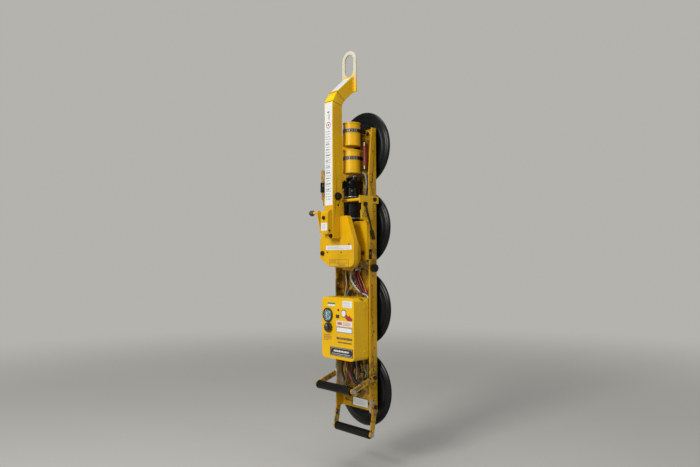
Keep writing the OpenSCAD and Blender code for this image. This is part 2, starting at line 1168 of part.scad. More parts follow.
// Backing plate with its hollow stud, and the nut that holds it to the web
module pad_mount(i) {
    plate_y = pad_back - pad_plate_t;
    color(STEEL)
        translate([0, 0, pad_z[i]]) {
            difference() {
                union() {
                    rod_y(150, plate_y, pad_back);
                    rod_y(stud_d, web_front - nut_h - 2, plate_y);
                }
                rod_y(6, -60, 0);
            }
            difference() {
                translate([0, web_front - gap - nut_h, 0])
                    rotate([-90, 0, 0])
                        cylinder(d = 27, h = nut_h, $fn = 6);
                rod_y(stud_d + gap, -60, 0);
            }
        }
}

module vacuum_pad_1() vacuum_pad(0);
module vacuum_pad_2() vacuum_pad(1);
module vacuum_pad_3() vacuum_pad(2);
module vacuum_pad_4() vacuum_pad(3);
module pad_mount_1() pad_mount(0);
module pad_mount_2() pad_mount(1);
module pad_mount_3() pad_mount(2);
module pad_mount_4() pad_mount(3);

lifting_eye();
lift_arm_tube();
tilt_housing();
tilt_axle();
latch_box();
arm_screws();
latch_pin_spring();
arm_cross_bolt();
tilt_lever_bar();
tilt_lever_ball();
tilt_latch_pin();
tilt_head_casting();
tilt_bushes();
thrust_washers();
rotation_spindle();
index_disc();
spindle_nut();
frame_channel();
rotation_plate();
rotation_bush();
frame_bolts();
pump_guard();
side_buffer();
pump_motor_can();
pump_head();
pump_rotor();
reservoirs();
reservoir_straps();
vacuum_hoses();
hose_fittings();
inlet_filter();
control_box_cover();
control_box_tray();
box_screws();
gauge_case();
gauge_dial();
gauge_lens();
gauge_needle();
valve_body();
valve_knob();
power_switch();
indicator_lamp();
battery();
circuit_board();
vacuum_switch();
upper_handle_frame();
upper_handle_grip();
lower_handle_frame();
lower_handle_grip();
rotation_lever();
rotation_lock_pin();
pad_springs();
vacuum_pad_1();
vacuum_pad_2();
vacuum_pad_3();
vacuum_pad_4();
pad_mount_1();
pad_mount_2();
pad_mount_3();
pad_mount_4();
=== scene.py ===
"""Looks of a crane-hung, powered vacuum lifter with four pads in line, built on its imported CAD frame.

Row frame: X to the operator's right, +Y towards the load, Z up along the row of pads. Sizes and places on the
object are in millimetres, which MM turns into metres. Texture scales, lights and the camera are in metres.
"""
import math
import random

import bpy
import bmesh
from mathutils import Matrix, Vector


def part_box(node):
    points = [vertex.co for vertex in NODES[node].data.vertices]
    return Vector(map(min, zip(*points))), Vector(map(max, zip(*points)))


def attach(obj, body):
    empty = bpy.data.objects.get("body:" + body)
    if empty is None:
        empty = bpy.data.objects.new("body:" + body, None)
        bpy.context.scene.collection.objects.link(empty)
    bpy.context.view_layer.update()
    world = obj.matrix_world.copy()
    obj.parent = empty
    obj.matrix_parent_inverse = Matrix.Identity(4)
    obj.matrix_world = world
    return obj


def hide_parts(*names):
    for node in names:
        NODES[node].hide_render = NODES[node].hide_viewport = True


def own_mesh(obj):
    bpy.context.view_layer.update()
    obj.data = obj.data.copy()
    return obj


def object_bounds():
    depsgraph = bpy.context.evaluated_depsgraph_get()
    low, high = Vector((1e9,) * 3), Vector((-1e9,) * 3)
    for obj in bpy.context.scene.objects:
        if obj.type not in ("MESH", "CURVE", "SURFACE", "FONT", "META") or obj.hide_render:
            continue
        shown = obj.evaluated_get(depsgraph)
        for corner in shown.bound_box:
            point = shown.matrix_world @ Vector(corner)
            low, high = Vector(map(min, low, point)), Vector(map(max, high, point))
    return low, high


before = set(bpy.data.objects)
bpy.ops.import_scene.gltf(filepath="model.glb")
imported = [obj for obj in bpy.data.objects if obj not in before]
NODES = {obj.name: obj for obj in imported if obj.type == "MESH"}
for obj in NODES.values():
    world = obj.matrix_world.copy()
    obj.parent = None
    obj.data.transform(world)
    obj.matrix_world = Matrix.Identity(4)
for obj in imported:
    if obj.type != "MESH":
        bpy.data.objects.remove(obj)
cad_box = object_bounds()
MM = 0.001
SEED = 11
rng = random.Random(SEED)


# ---- materials

class Mat:
    """A small builder for procedural materials.

    Textures read object coordinates, which are the row frame at rest, so a finish moves with its body.
    """

    def __init__(self, name):
        self.mat = bpy.data.materials.new(name)
        self.mat.use_nodes = True
        self.tree = self.mat.node_tree
        self.tree.nodes.clear()
        self.coord = self.add("ShaderNodeTexCoord").outputs["Object"]

    def add(self, kind, **settings):
        node = self.tree.nodes.new(kind)
        for key, value in settings.items():
            setattr(node, key, value)
        return node

    def plug(self, socket, value):
        if hasattr(value, "links"):
            self.tree.links.new(value, socket)
        else:
            socket.default_value = value

    def stretch(self, x, y, z):
        node = self.add("ShaderNodeVectorMath", operation="MULTIPLY")
        self.plug(node.inputs[0], self.coord)
        node.inputs[1].default_value = (x, y, z)
        return node.outputs[0]

    def noise(self, scale, detail=3.0, rough=0.55, vec=None):
        node = self.add("ShaderNodeTexNoise")
        self.plug(node.inputs["Vector"], vec or self.coord)
        node.inputs["Scale"].default_value = scale
        node.inputs["Detail"].default_value = detail
        node.inputs["Roughness"].default_value = rough
        return node.outputs["Fac"]

    def step(self, value, low, high):
        """0 below low, 1 above high."""
        node = self.add("ShaderNodeMapRange", interpolation_type="SMOOTHSTEP")
        self.plug(node.inputs["Value"], value)
        node.inputs["From Min"].default_value = low
        node.inputs["From Max"].default_value = high
        return node.outputs["Result"]

    def span(self, value, low, high):
        """Maps 0..1 to low..high."""
        node = self.add("ShaderNodeMapRange")
        self.plug(node.inputs["Value"], value)
        node.inputs["To Min"].default_value = low
        node.inputs["To Max"].default_value = high
        return node.outputs["Result"]

    def calc(self, operation, a, b=0.0):
        node = self.add("ShaderNodeMath", operation=operation)
        self.plug(node.inputs[0], a)
        self.plug(node.inputs[1], b)
        return node.outputs[0]

    def times(self, a, b):
        return self.calc("MULTIPLY", a, b)

    def plus(self, a, b):
        return self.calc("ADD", a, b)

    def mix(self, fac, a, b):
        node = self.add("ShaderNodeMix", data_type="RGBA")
        self.plug(node.inputs["Factor"], fac)
        self.plug(node.inputs["A"], colour(a))
        self.plug(node.inputs["B"], colour(b))
        return node.outputs["Result"]

    def near(self, place, reach):
        """1 at a place in millimetres, fading to 0 at the given reach."""
        node = self.add("ShaderNodeVectorMath", operation="DISTANCE")
        self.plug(node.inputs[0], self.coord)
        node.inputs[1].default_value = Vector(place) * MM
        return self.step(node.outputs["Value"], reach * MM, 0.35 * reach * MM)

    def corners(self, radius):
        """1 on sharp outer edges, 0 on flat faces."""
        bevel = self.add("ShaderNodeBevel", samples=4)
        bevel.inputs["Radius"].default_value = radius
        geometry = self.add("ShaderNodeNewGeometry")
        dot = self.add("ShaderNodeVectorMath", operation="DOT_PRODUCT")
        self.plug(dot.inputs[0], bevel.outputs[0])
        self.plug(dot.inputs[1], geometry.outputs["Normal"])
        return self.step(dot.outputs["Value"], 0.995, 0.85)

    def crevice(self, distance):
        """1 deep in corners, 0 in the open, from ambient occlusion; the finishes darken by it as painted
        shade.
        """
        node = self.add("ShaderNodeAmbientOcclusion", samples=4)
        node.inputs["Distance"].default_value = distance
        return self.calc("SUBTRACT", 1.0, node.outputs["AO"])

    def bump(self, height, distance, strength=1.0, under=None):
        node = self.add("ShaderNodeBump")
        self.plug(node.inputs["Height"], height)
        node.inputs["Distance"].default_value = distance
        node.inputs["Strength"].default_value = strength
        if under:
            self.plug(node.inputs["Normal"], under)
        return node.outputs[0]

    def close(self, base, rough, metal=0.0, normal=None, **extra):
        shader = self.add("ShaderNodeBsdfPrincipled")
        self.plug(shader.inputs["Base Color"], colour(base))
        self.plug(shader.inputs["Roughness"], rough)
        self.plug(shader.inputs["Metallic"], metal)
        if normal:
            self.plug(shader.inputs["Normal"], normal)
        for key, value in extra.items():
            self.plug(shader.inputs[key.replace("_", " ")], value)
        self.shader = shader
        self.out = self.add("ShaderNodeOutputMaterial")
        self.plug(self.out.inputs["Surface"], shader.outputs[0])
        return self.mat

    def blend(self, fac, other):
        """Mixes another shader over the finished one."""
        node = self.add("ShaderNodeMixShader")
        self.plug(node.inputs[0], fac)
        self.plug(node.inputs[1], self.shader.outputs[0])
        self.plug(node.inputs[2], other.outputs[0])
        self.plug(self.out.inputs["Surface"], node.outputs[0])


def colour(value):
    return (*value, 1.0) if isinstance(value, tuple) and len(value) == 3 else value


# Colours that wear and weather lay over a finish, and the colours of painted shade
STREAK = (0.22, 0.13, 0.035)
SHADE_AND_GRIME = (0.06, 0.035, 0.012)
SPECK = (0.10, 0.05, 0.015)
OIL_AND_SHADE = (0.030, 0.016, 0.006)
PRIMER = (0.42, 0.39, 0.33)
RUST = (0.045, 0.020, 0.010)
BARE_STEEL = (0.30, 0.24, 0.17)
SURFACE_RUST = (0.19, 0.075, 0.03)
CORNER_SHADE = (0.02, 0.015, 0.01)
RUBBER_SHADE = (0.004, 0.004, 0.004)
SCUFF = (0.12, 0.11, 0.10)
SMEAR = (0.30, 0.25, 0.17)
FINGER_DIRT = (0.16, 0.12, 0.07)


def paint(name, main, second, wear=0.5, dirt=0.6, chips=0.0, scuffs=(), stains_and_shade=(), light_spots=()):
    """Sprayed enamel: mottled colour, orange peel, painted shade with grimy blotches in corners, chips down
    to rusty steel on edges.

    scuffs list places, each with its reach in mm, that are rubbed to primer. The stain places, each with its
    reach in mm, are darkened with oil, and on the channel also with painted shade.
    The spots of painted light list places, each with its reach and the colour the paint turns to there.
    """
    m = Mat(name)
    cloud = m.step(m.noise(7.0, 4.0), 0.35, 0.68)
    base = m.mix(cloud, main, second)
    # Spots of painted light: a painted highlight, or plain yellow beside one.
    for place, reach, tone in light_spots:
        base = m.mix(m.near(place, reach), base, tone)
    streak = m.step(m.noise(30.0, 5.0, 0.6, m.stretch(1.0, 1.0, 0.12)), 0.52, 0.75)
    base = m.mix(m.times(streak, 0.22 * dirt), base, STREAK)
    # Darker and rougher in corners, from ambient occlusion and scaled by dirt: painted shade with grimy
    # blotches.
    shade_and_grime = m.times(m.step(m.crevice(0.02), 0.25, 0.85), m.span(m.noise(60.0), 0.4, 1.2))
    base = m.mix(m.times(shade_and_grime, dirt), base, SHADE_AND_GRIME)
    speck = m.step(m.noise(420.0, 2.0, 0.5), 0.70, 0.74)
    base = m.mix(m.times(speck, 0.5 * dirt), base, SPECK)
    blotch = m.noise(38.0, 6.0, 0.7)
    # Oily blotches, which on the channel are also painted shade where it lies in shadow.
    for place, reach in stains_and_shade:
        spread = m.times(m.near(place, reach), m.step(blotch, 0.36, 0.56))
        base = m.mix(m.times(spread, 0.85), base, OIL_AND_SHADE)
    for place, reach in scuffs:
        rubbed = m.times(m.near(place, reach), m.step(blotch, 0.44, 0.50))
        base = m.mix(rubbed, base, PRIMER)
    worn = m.step(m.noise(130.0, 4.0, 0.65), 0.62 - 0.16 * wear, 0.68 - 0.12 * wear)
    edge = m.times(m.corners(0.0016), worn)
    chip = m.step(m.noise(85.0, 5.0, 0.7), 0.69 - 0.16 * chips, 0.71 - 0.16 * chips) if chips else 0.0
    bare = m.calc("MAXIMUM", edge, chip)
    metal = m.mix(m.step(m.noise(240.0, 3.0), 0.40, 0.62), RUST, BARE_STEEL)
    base = m.mix(bare, base, metal)
    scratch = m.step(m.noise(90.0, 2.0, 0.4, m.stretch(6.0, 6.0, 0.35)), 0.66, 0.70)
    rough = m.plus(m.span(m.noise(45.0, 4.0), 0.30, 0.50), m.times(shade_and_grime, 0.3))
    rough = m.plus(rough, m.times(scratch, 0.12))
    peel = m.bump(m.noise(900.0, 2.0), 0.00012, 0.5)
    dents = m.bump(m.noise(26.0, 3.0), 0.0012, 0.35, peel)
    flakes = m.bump(m.calc("SUBTRACT", 1.0, bare), 0.0002, 0.7, dents)
    return m.close(base, rough, m.times(bare, 0.35), flakes, Specular_IOR_Level=0.28,
                   Coat_Weight=0.05, Coat_Roughness=0.20)


def steel(name, main, dark, rough=0.3, rust=0.2, turned=(1.0, 1.0, 1.0)):
    """Plated or machined metal with fine tool lines, blotches of light rust and painted shade in its corners.
    """
    m = Mat(name)
    lines = m.noise(500.0, 3.0, 0.6, m.stretch(*turned))
    base = m.mix(m.noise(35.0, 4.0), main, dark)
    stain = m.step(m.noise(120.0, 5.0, 0.65), 0.62 - 0.2 * rust, 0.72 - 0.1 * rust)
    base = m.mix(m.times(stain, rust), base, SURFACE_RUST)
    # Darker in corners: painted shade.
    shade_and_grime = m.step(m.crevice(0.008), 0.3, 0.9)
    base = m.mix(m.times(shade_and_grime, 0.5), base, CORNER_SHADE)
    roughness = m.plus(m.span(lines, rough - 0.08, rough + 0.12), m.times(stain, 0.35 * rust))
    metallic = m.calc("SUBTRACT", 1.0, m.times(stain, rust))
    return m.close(base, roughness, metallic, m.bump(lines, 0.00006, 0.6))


def rubber(name, main, dust_and_sheen, rough=0.45, dust_and_sheen_share=0.35, grain=700.0, sheen=0.2):
    """Moulded rubber: fine grain, scuffs and a dusty film in patches; on the pads that film is tinted teal as
    painted sheen.
    """
    m = Mat(name)
    patch = m.step(m.noise(16.0, 5.0, 0.6), 0.42, 0.75)
    scuff = m.step(m.noise(70.0, 5.0, 0.7, m.stretch(1.0, 1.0, 0.4)), 0.60, 0.74)
    base = m.mix(m.times(patch, dust_and_sheen_share), main, dust_and_sheen)
    base = m.mix(m.times(scuff, 0.5 * dust_and_sheen_share), base, dust_and_sheen)
    base = m.mix(m.times(m.step(m.crevice(0.01), 0.3, 0.9), 0.6), base, RUBBER_SHADE)
    roughness = m.plus(m.span(m.noise(40.0, 4.0), rough - 0.07, rough + 0.10), m.times(scuff, 0.15))
    normal = m.bump(m.noise(grain, 3.0), 0.0001, 0.6, m.bump(m.noise(22.0, 2.0), 0.0006, 0.2))
    return m.close(base, roughness, 0.0, normal, Specular_IOR_Level=0.22, Sheen_Weight=sheen,
                   Sheen_Roughness=0.4)


def plastic(name, main, second, rough=0.3, coat=0.3):
    """Moulded plastic with faint mottling and scuffs."""
    m = Mat(name)
    base = m.mix(m.noise(50.0, 4.0), main, second)
    scuff = m.step(m.noise(150.0, 4.0, 0.7), 0.62, 0.72)
    base = m.mix(m.times(scuff, 0.25), base, SCUFF)
    roughness = m.plus(m.span(m.noise(90.0, 4.0), rough - 0.06, rough + 0.10), m.times(scuff, 0.2))
    grain = m.bump(m.noise(1200.0, 2.0), 0.00005, 0.5)
    return m.close(base, roughness, 0.0, grain, Coat_Weight=coat, Coat_Roughness=0.15)


def film(name, main, second, rough=0.35, dirt=0.5):
    """A printed sticker: slightly yellowed, scuffed and dirty film with grubby edges."""
    m = Mat(name)
    base = m.mix(m.noise(14.0, 5.0), main, second)
    smear = m.step(m.noise(75.0, 6.0, 0.7, m.stretch(1.0, 1.0, 0.5)), 0.56, 0.74)
    base = m.mix(m.times(smear, 0.45 * dirt), base, SMEAR)
    base = m.mix(m.times(m.corners(0.0012), 0.6 * dirt), base, FINGER_DIRT)
    roughness = m.plus(m.span(m.noise(60.0, 3.0), rough - 0.08, rough + 0.1), m.times(smear, 0.2))
    return m.close(base, roughness, 0.0, m.bump(m.noise(160.0, 3.0), 0.0002, 0.3), Coat_Weight=0.15)


def tinted(name, main, rough, clear):
    """Clear or tinted moulding that light passes through."""
    m = Mat(name)
    base = m.mix(m.noise(80.0, 3.0), main, tuple(0.8 * c for c in main))
    haze = m.span(m.noise(220.0, 4.0), rough * 0.5, rough * 1.6)
    m.close(base, haze, 0.0, m.bump(m.noise(300.0, 2.0), 0.00004, 0.4), Transmission_Weight=clear, IOR=1.45)
    ray = m.add("ShaderNodeLightPath")
    m.blend(m.times(ray.outputs["Is Shadow Ray"], clear), m.add("ShaderNodeBsdfTransparent"))
    return m.mat


YELLOW = (0.76, 0.43, 0.0012)
YELLOW_2 = (0.64, 0.35, 0.0012)
yellow_paint = paint("yellow_paint", YELLOW, YELLOW_2)
# The lighter lemon patch on the arm's bend is a painted highlight.
arm_paint = paint("arm_paint", YELLOW, (0.66, 0.36, 0.0012), 0.45, 0.5,
                  light_spots=(((0, -172, 562), 46, (0.90, 0.62, 0.006)),))
# The eye's pale cream and white is worn paint and painted highlight, where light from above burns out its
# yellow; it turns plain yellow round one place.
eye_paint = paint("eye_paint", (0.66, 0.56, 0.26), (0.62, 0.60, 0.50), -0.6, 0.2,
                  light_spots=(((0, -66, 598), 88, (0.80, 0.50, 0.004)),))
plate_paint = paint("plate_paint", YELLOW, YELLOW_2, 0.7, 0.7,
                    stains_and_shade=(((64, -72, 8), 42), ((-60, -60, 40), 30)))
worn_paint = paint("worn_paint", YELLOW_2, (0.34, 0.17, 0.003), 1.0, 1.0, 1.02)
box_paint = paint("box_paint", (0.84, 0.49, 0.0012), (0.76, 0.43, 0.0012), 0.60, 0.5,
                  stains_and_shade=(((60, -112, -97), 15), ((76, -88, -97), 15)))
# Most of the channel's oily blotches lie on its web and flange insides, and are also painted shade where
# these lie in shadow.
channel_paint = paint("channel_paint", (0.68, 0.37, 0.0015), (0.52, 0.27, 0.002), 0.9, 0.9, 0.22,
                      scuffs=(((-86, -55, -340), 34), ((-86, -52, -392), 40), ((84, -58, -455), 30)),
                      stains_and_shade=(((-10, -30, -400), 110), ((30, -30, -345), 110), ((-60, -35, -60), 95),
                              ((40, -30, 30), 90), ((0, -30, 260), 120), ((40, -30, 440), 60),
                              ((-20, -30, -70), 80)))
zinc_steel = steel("zinc_steel", (0.60, 0.59, 0.57), (0.42, 0.41, 0.40), 0.32, 0.25)
turned_steel = steel("turned_steel", (0.55, 0.55, 0.54), (0.40, 0.40, 0.39), 0.26, 0.12, (0.2, 4.0, 0.2))
dark_bolt = steel("dark_bolt", (0.10, 0.055, 0.035), (0.045, 0.022, 0.016), 0.42, 0.6)
black_steel = steel("black_steel", (0.030, 0.026, 0.024), (0.060, 0.045, 0.035), 0.42, 0.35)
bronze = steel("bronze", (0.66, 0.44, 0.20), (0.48, 0.30, 0.13), 0.34, 0.1)
brass_fitting = steel("brass_fitting", (0.30, 0.22, 0.11), (0.16, 0.12, 0.07), 0.36, 0.35)
spring_steel = steel("spring_steel", (0.34, 0.33, 0.32), (0.20, 0.19, 0.18), 0.34, 0.2)
black_casting = rubber("black_casting", (0.006, 0.006, 0.007), (0.05, 0.047, 0.04), 0.26, 0.25, 420.0, 0.0)
# The pads' faint teal tint, strongest in their dusty patches, is painted sheen.
pad_rubber = rubber("pad_rubber", (0.0022, 0.0036, 0.0038), (0.006, 0.013, 0.014), 0.30, 0.18, 900.0, 0.0)
grip_rubber = rubber("grip_rubber", (0.0032, 0.0030, 0.0026), (0.014, 0.012, 0.009), 0.36, 0.3, 650.0, 0.0)
black_plastic = plastic("black_plastic", (0.012, 0.012, 0.013), (0.022, 0.021, 0.020), 0.24, 0.6)
white_film = film("white_film", (0.80, 0.81, 0.80), (0.74, 0.75, 0.73))
pale_film = film("pale_film", (0.80, 0.76, 0.70), (0.74, 0.66, 0.62))
ink = film("ink", (0.03, 0.03, 0.035), (0.06, 0.055, 0.05), 0.45, 0.3)
blue_ink = film("blue_ink", (0.36, 0.43, 0.52), (0.45, 0.50, 0.56), 0.45, 0.2)
strong_blue = film("strong_blue", (0.05, 0.11, 0.36), (0.08, 0.14, 0.40), 0.4, 0.2)
red_ink = film("red_ink", (0.40, 0.025, 0.03), (0.30, 0.02, 0.025), 0.4, 0.3)
green_ink = film("green_ink", (0.05, 0.22, 0.09), (0.08, 0.26, 0.12), 0.4, 0.2)
sign_yellow = film("sign_yellow", (0.74, 0.44, 0.004), (0.62, 0.36, 0.004), 0.35, 0.3)
plate_black = plastic("plate_black", (0.014, 0.014, 0.016), (0.025, 0.024, 0.024), 0.30, 0.3)
dial_teal = film("dial_teal", (0.010, 0.21, 0.25), (0.03, 0.40, 0.44), 0.3, 0.1)
strap_grey = film("strap_grey", (0.20, 0.20, 0.17), (0.10, 0.10, 0.085), 0.4, 0.5)
rust_seam = paint("rust_seam", (0.10, 0.045, 0.012), (0.05, 0.022, 0.008), 0.6, 0.9, 0.3)
hub_tape = film("hub_tape", (0.30, 0.30, 0.29), (0.18, 0.18, 0.17), 0.4, 0.5)
glass = tinted("glass", (0.94, 0.98, 0.98), 0.03, 0.95)
red_lens = tinted("red_lens", (0.55, 0.02, 0.015), 0.12, 0.45)
clear_hose = tinted("clear_hose", (0.72, 0.76, 0.70), 0.16, 0.45)
red_hose = rubber("red_hose", (0.20, 0.022, 0.012), (0.30, 0.16, 0.12), 0.36, 0.25, 500.0, 0.1)
wine_hose = rubber("wine_hose", (0.085, 0.010, 0.022), (0.20, 0.10, 0.10), 0.34, 0.25, 500.0, 0.1)
black_hose = rubber("black_hose", (0.012, 0.012, 0.013), (0.07, 0.065, 0.06), 0.38, 0.3, 500.0, 0.1)
orange_wire = plastic("orange_wire", (0.62, 0.20, 0.035), (0.50, 0.15, 0.03), 0.35, 0.2)
white_wire = plastic("white_wire", (0.42, 0.38, 0.30), (0.34, 0.30, 0.24), 0.35, 0.2)
green_strip = plastic("green_strip", (0.36, 0.40, 0.10), (0.26, 0.30, 0.08), 0.4, 0.2)
circuit_green = plastic("circuit_green", (0.015, 0.14, 0.05), (0.02, 0.19, 0.07), 0.3, 0.3)
battery_case = plastic("battery_case", (0.02, 0.022, 0.03), (0.04, 0.04, 0.05), 0.4, 0.1)


# ---- finishes of the CAD nodes

FINISH = (
    (yellow_paint, "tilt_housing latch_box tilt_head_casting pump_guard reservoirs"),
    (plate_paint, "rotation_plate"),
    (arm_paint, "lift_arm_tube tilt_lever_bar"),
    (eye_paint, "lifting_eye"),
    (box_paint, "control_box_cover control_box_tray box_screws"),
    (channel_paint, "frame_channel"),
    (worn_paint, "upper_handle_frame lower_handle_frame inlet_filter"),
    (zinc_steel, "tilt_latch_pin index_disc vacuum_switch"),
    (turned_steel, "tilt_axle rotation_spindle spindle_nut pump_rotor rotation_lock_pin"),
    (spring_steel, "latch_pin_spring pad_springs"),
    (dark_bolt, "arm_screws frame_bolts"),
    (black_steel, "arm_cross_bolt rotation_lever reservoir_straps"),
    (black_steel, "pad_mount_1 pad_mount_2 pad_mount_3 pad_mount_4"),
    (bronze, "tilt_bushes thrust_washers rotation_bush valve_body"),
    (brass_fitting, "hose_fittings"),
    (black_casting, "pump_motor_can pump_head"),
    (red_hose, "vacuum_hoses"),
    (black_plastic, "tilt_lever_ball gauge_case valve_knob power_switch"),
    (battery_case, "battery"),
    (grip_rubber, "side_buffer upper_handle_grip lower_handle_grip"),
    (pad_rubber, "vacuum_pad_1 vacuum_pad_2 vacuum_pad_3 vacuum_pad_4"),
    (dial_teal, "gauge_dial"),
    (glass, "gauge_lens"),
    (red_ink, "gauge_needle"),
    (red_lens, "indicator_lamp"),
    (circuit_green, "circuit_board"),
)
for material, node_names in FINISH:
    for node_name in node_names.split():
        shown = NODES[node_name].data
        shown.materials.clear()
        shown.materials.append(material)


def soften(obj, width, segments=2):
    """Rounds a machined piece's edges a little and gives it clean shading."""
    obj.data.polygons.foreach_set("use_smooth", [True] * len(obj.data.polygons))
    weld = obj.modifiers.new("weld", "WELD")
    weld.merge_threshold = 1e-6
    bevel = obj.modifiers.new("bevel", "BEVEL")
    bevel.width = width
    bevel.segments = segments
    bevel.limit_method = "ANGLE"
    bevel.angle_limit = math.radians(38)
    bevel.use_clamp_overlap = True
    normals = obj.modifiers.new("normals", "WEIGHTED_NORMAL")
    normals.keep_sharp = False


USUAL_EDGE = 0.4
EDGE = {
    "tilt_housing": 1.2, "latch_box": 1.5, "tilt_head_casting": 1.2, "lift_arm_tube": 1.6,
    "lifting_eye": 0.9, "control_box_cover": 0.5, "control_box_tray": 0.5, "frame_channel": 1.0,
    "rotation_plate": 1.0, "pump_guard": 0.8, "reservoirs": 2.0, "inlet_filter": 1.5, "pump_head": 1.0,
    "gauge_needle": 0.1, "gauge_dial": 0.1,
}
for node_name, node in NODES.items():
    soften(node, EDGE.get(node_name, USUAL_EDGE) * MM)


# ---- mesh tools

X, Y, Z = Vector((1, 0, 0)), Vector((0, 1, 0)), Vector((0, 0, 1))


def finish_piece(name, bm, body, material, smooth=True, bevel=0.0):
    """Turns a bmesh in the row frame into a piece that rides on a body."""
    bmesh.ops.recalc_face_normals(bm, faces=bm.faces)
    mesh = bpy.data.meshes.new(name)
    bm.to_mesh(mesh)
    bm.free()
    obj = bpy.data.objects.new(name, mesh)
    bpy.context.scene.collection.objects.link(obj)
    mesh.materials.append(material)
    if smooth:
        mesh.polygons.foreach_set("use_smooth", [True] * len(mesh.polygons))
    if bevel:
        soften(obj, bevel * MM)
    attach(obj, body)
    return obj


def span_of(node):
    """Lowest and highest corner of a CAD node."""
    low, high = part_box(node)
    return low / MM, high / MM


def circle(bm, centre, side, other, r, steps, turn=0.0):
    """A ring of new vertices round a centre, in the plane of two unit vectors."""
    angles = (turn + 2 * math.pi * k / steps for k in range(steps))
    return [bm.verts.new((centre + r * (math.cos(a) * side + math.sin(a) * other)) * MM) for a in angles]


def bridge(bm, a, b):
    """Joins two closed loops of vertices; a loop may be a single point."""
    steps = max(len(a), len(b))
    for i in range(steps):
        j = (i + 1) % steps
        if len(a) == 1:
            bm.faces.new((a[0], b[j], b[i]))
        elif len(b) == 1:
            bm.faces.new((a[i], a[j], b[0]))
        else:
            bm.faces.new((a[i], a[j], b[j], b[i]))


def loft(bm, rings):
    """Closes a stack of loops into a solid with flat ends."""
    bm.faces.new(rings[0][::-1])
    bm.faces.new(rings[-1])
    for a, b in zip(rings, rings[1:]):
        bridge(bm, a, b)


class Face:
    """A flat side of a CAD node, to lay details on that ride on its body.

    u runs right as the side is looked at, v up from its bottom edge, and w outwards. sunk is how far the
    details' plane lies inside that side.
    """

    def __init__(self, node, side, body, sunk=0.0):
        low, high = span_of(node)
        self.body = body
        if side == "front":
            self.origin = Vector(((low.x + high.x) / 2, low.y + sunk, low.z))
            self.axes = X, Z, -Y
        else:
            self.origin = Vector((high.x, low.y, low.z))
            self.axes = Y, Z, X

    def at(self, u, v, w=0.0):
        return self.origin + u * self.axes[0] + v * self.axes[1] + w * self.axes[2]

    def prism(self, bm, outline, low, high):
        """Adds a closed prism with an outline of (u, v) points, between two heights above the face."""
        rings = []
        for w in (low, high):
            rings.append([bm.verts.new(self.at(u, v, w) * MM) for u, v in outline])
        loft(bm, rings)

    def label(self, name, u0, u1, v0, v1, material, thick=0.25, r=1.5, base=0.0):
        """A film or a plate with round corners, just clear of the face or of the film below it."""
        bm = bmesh.new()
        self.prism(bm, rounded(u0, u1, v0, v1, r), base + 0.02, base + thick)
        finish_piece(name, bm, self.body, material, smooth=False)

    def stamp(self, name, outlines, material, low=0.25, high=0.33):
        """Several printed shapes in one thin piece."""
        bm = bmesh.new()
        for outline in outlines:
            self.prism(bm, outline, low, high)
        finish_piece(name, bm, self.body, material, smooth=False)


def bar(u0, u1, v0, v1):
    return [(u0, v0), (u1, v0), (u1, v1), (u0, v1)]


def rounded(u0, u1, v0, v1, r, steps=4):
    """Outline of a rectangle with round corners."""
    corners = ((u1 - r, v0 + r, -90), (u1 - r, v1 - r, 0), (u0 + r, v1 - r, 90), (u0 + r, v0 + r, 180))
    points = []
    for cu, cv, start in corners:
        for k in range(steps + 1):
            a = math.radians(start + 90 * k / steps)
            points.append((cu + r * math.cos(a), cv + r * math.sin(a)))
    return points


def disc(u, v, r, steps=28):
    angles = (2 * math.pi * k / steps for k in range(steps))
    return [(u + r * math.cos(a), v + r * math.sin(a)) for a in angles]


def dashes(u0, u1, v0, v1, rows, fill=0.72, longest=7.0, ragged=0.25):
    """Rows of plain dashes that stand for printing at this scale; they spell nothing."""
    shapes = []
    pitch = (v1 - v0) / rows
    for row in range(rows):
        low = v1 - (row + 0.5 + fill / 2) * pitch
        high = low + fill * pitch
        u = u0
        end = u1 - rng.random() * ragged * (u1 - u0)
        while u < end:
            length = min(longest * (0.35 + 0.65 * rng.random()), end - u)
            if length > 0.4:
                shapes.append(bar(u, u + length, low, high))
            u += length + 0.12 * longest + 0.4
    return shapes


def smooth_path(points, steps=8):
    """Catmull-Rom line through the points."""
    pts = [Vector(p) for p in points]
    pts = [2 * pts[0] - pts[1]] + pts + [2 * pts[-1] - pts[-2]]
    line = []
    for i in range(1, len(pts) - 2):
        a, b, c, d = pts[i - 1:i + 3]
        for k in range(steps):
            t = k / steps
            line.append(0.5 * (2 * b + (c - a) * t + (2 * a - 5 * b + 4 * c - d) * t * t
                               + (3 * b - a - 3 * c + d) * t ** 3))
    line.append(pts[-2])
    return line


def add_tube(bm, line, radii, sides=12):
    """Adds a closed tube along a line of points, with a radius for each."""
    side = (line[1] - line[0]).normalized().orthogonal().normalized()
    rings = []
    last = len(line) - 1
    for i, point in enumerate(line):
        ahead = (line[min(i + 1, last)] - line[max(i - 1, 0)]).normalized()
        side = (side - ahead * side.dot(ahead)).normalized()
        rings.append(circle(bm, point, side, ahead.cross(side), radii[i], sides))
    loft(bm, rings)


def hose(name, points, radius, material):
    """A hose or wire that rides on the pad frame."""
    line = smooth_path(points)
    bm = bmesh.new()
    add_tube(bm, line, [radius] * len(line))
    finish_piece(name, bm, "pad_frame", material)


def add_lathe(bm, profile, centre, axis, steps=48):
    """Revolves (radius, height) points round an axis through centre.

    A profile that starts on the axis ends on it too and makes a bar. Any other closes into a ring.
    """
    axis = Vector(axis).normalized()
    side = axis.orthogonal().normalized()
    other = axis.cross(side)
    rings = []
    for r, h in profile:
        middle = Vector(centre) + h * axis
        rings.append(circle(bm, middle, side, other, r, steps) if r else [bm.verts.new(middle * MM)])
    if profile[0][0]:
        rings.append(rings[0])
    for a, b in zip(rings, rings[1:]):
        bridge(bm, a, b)


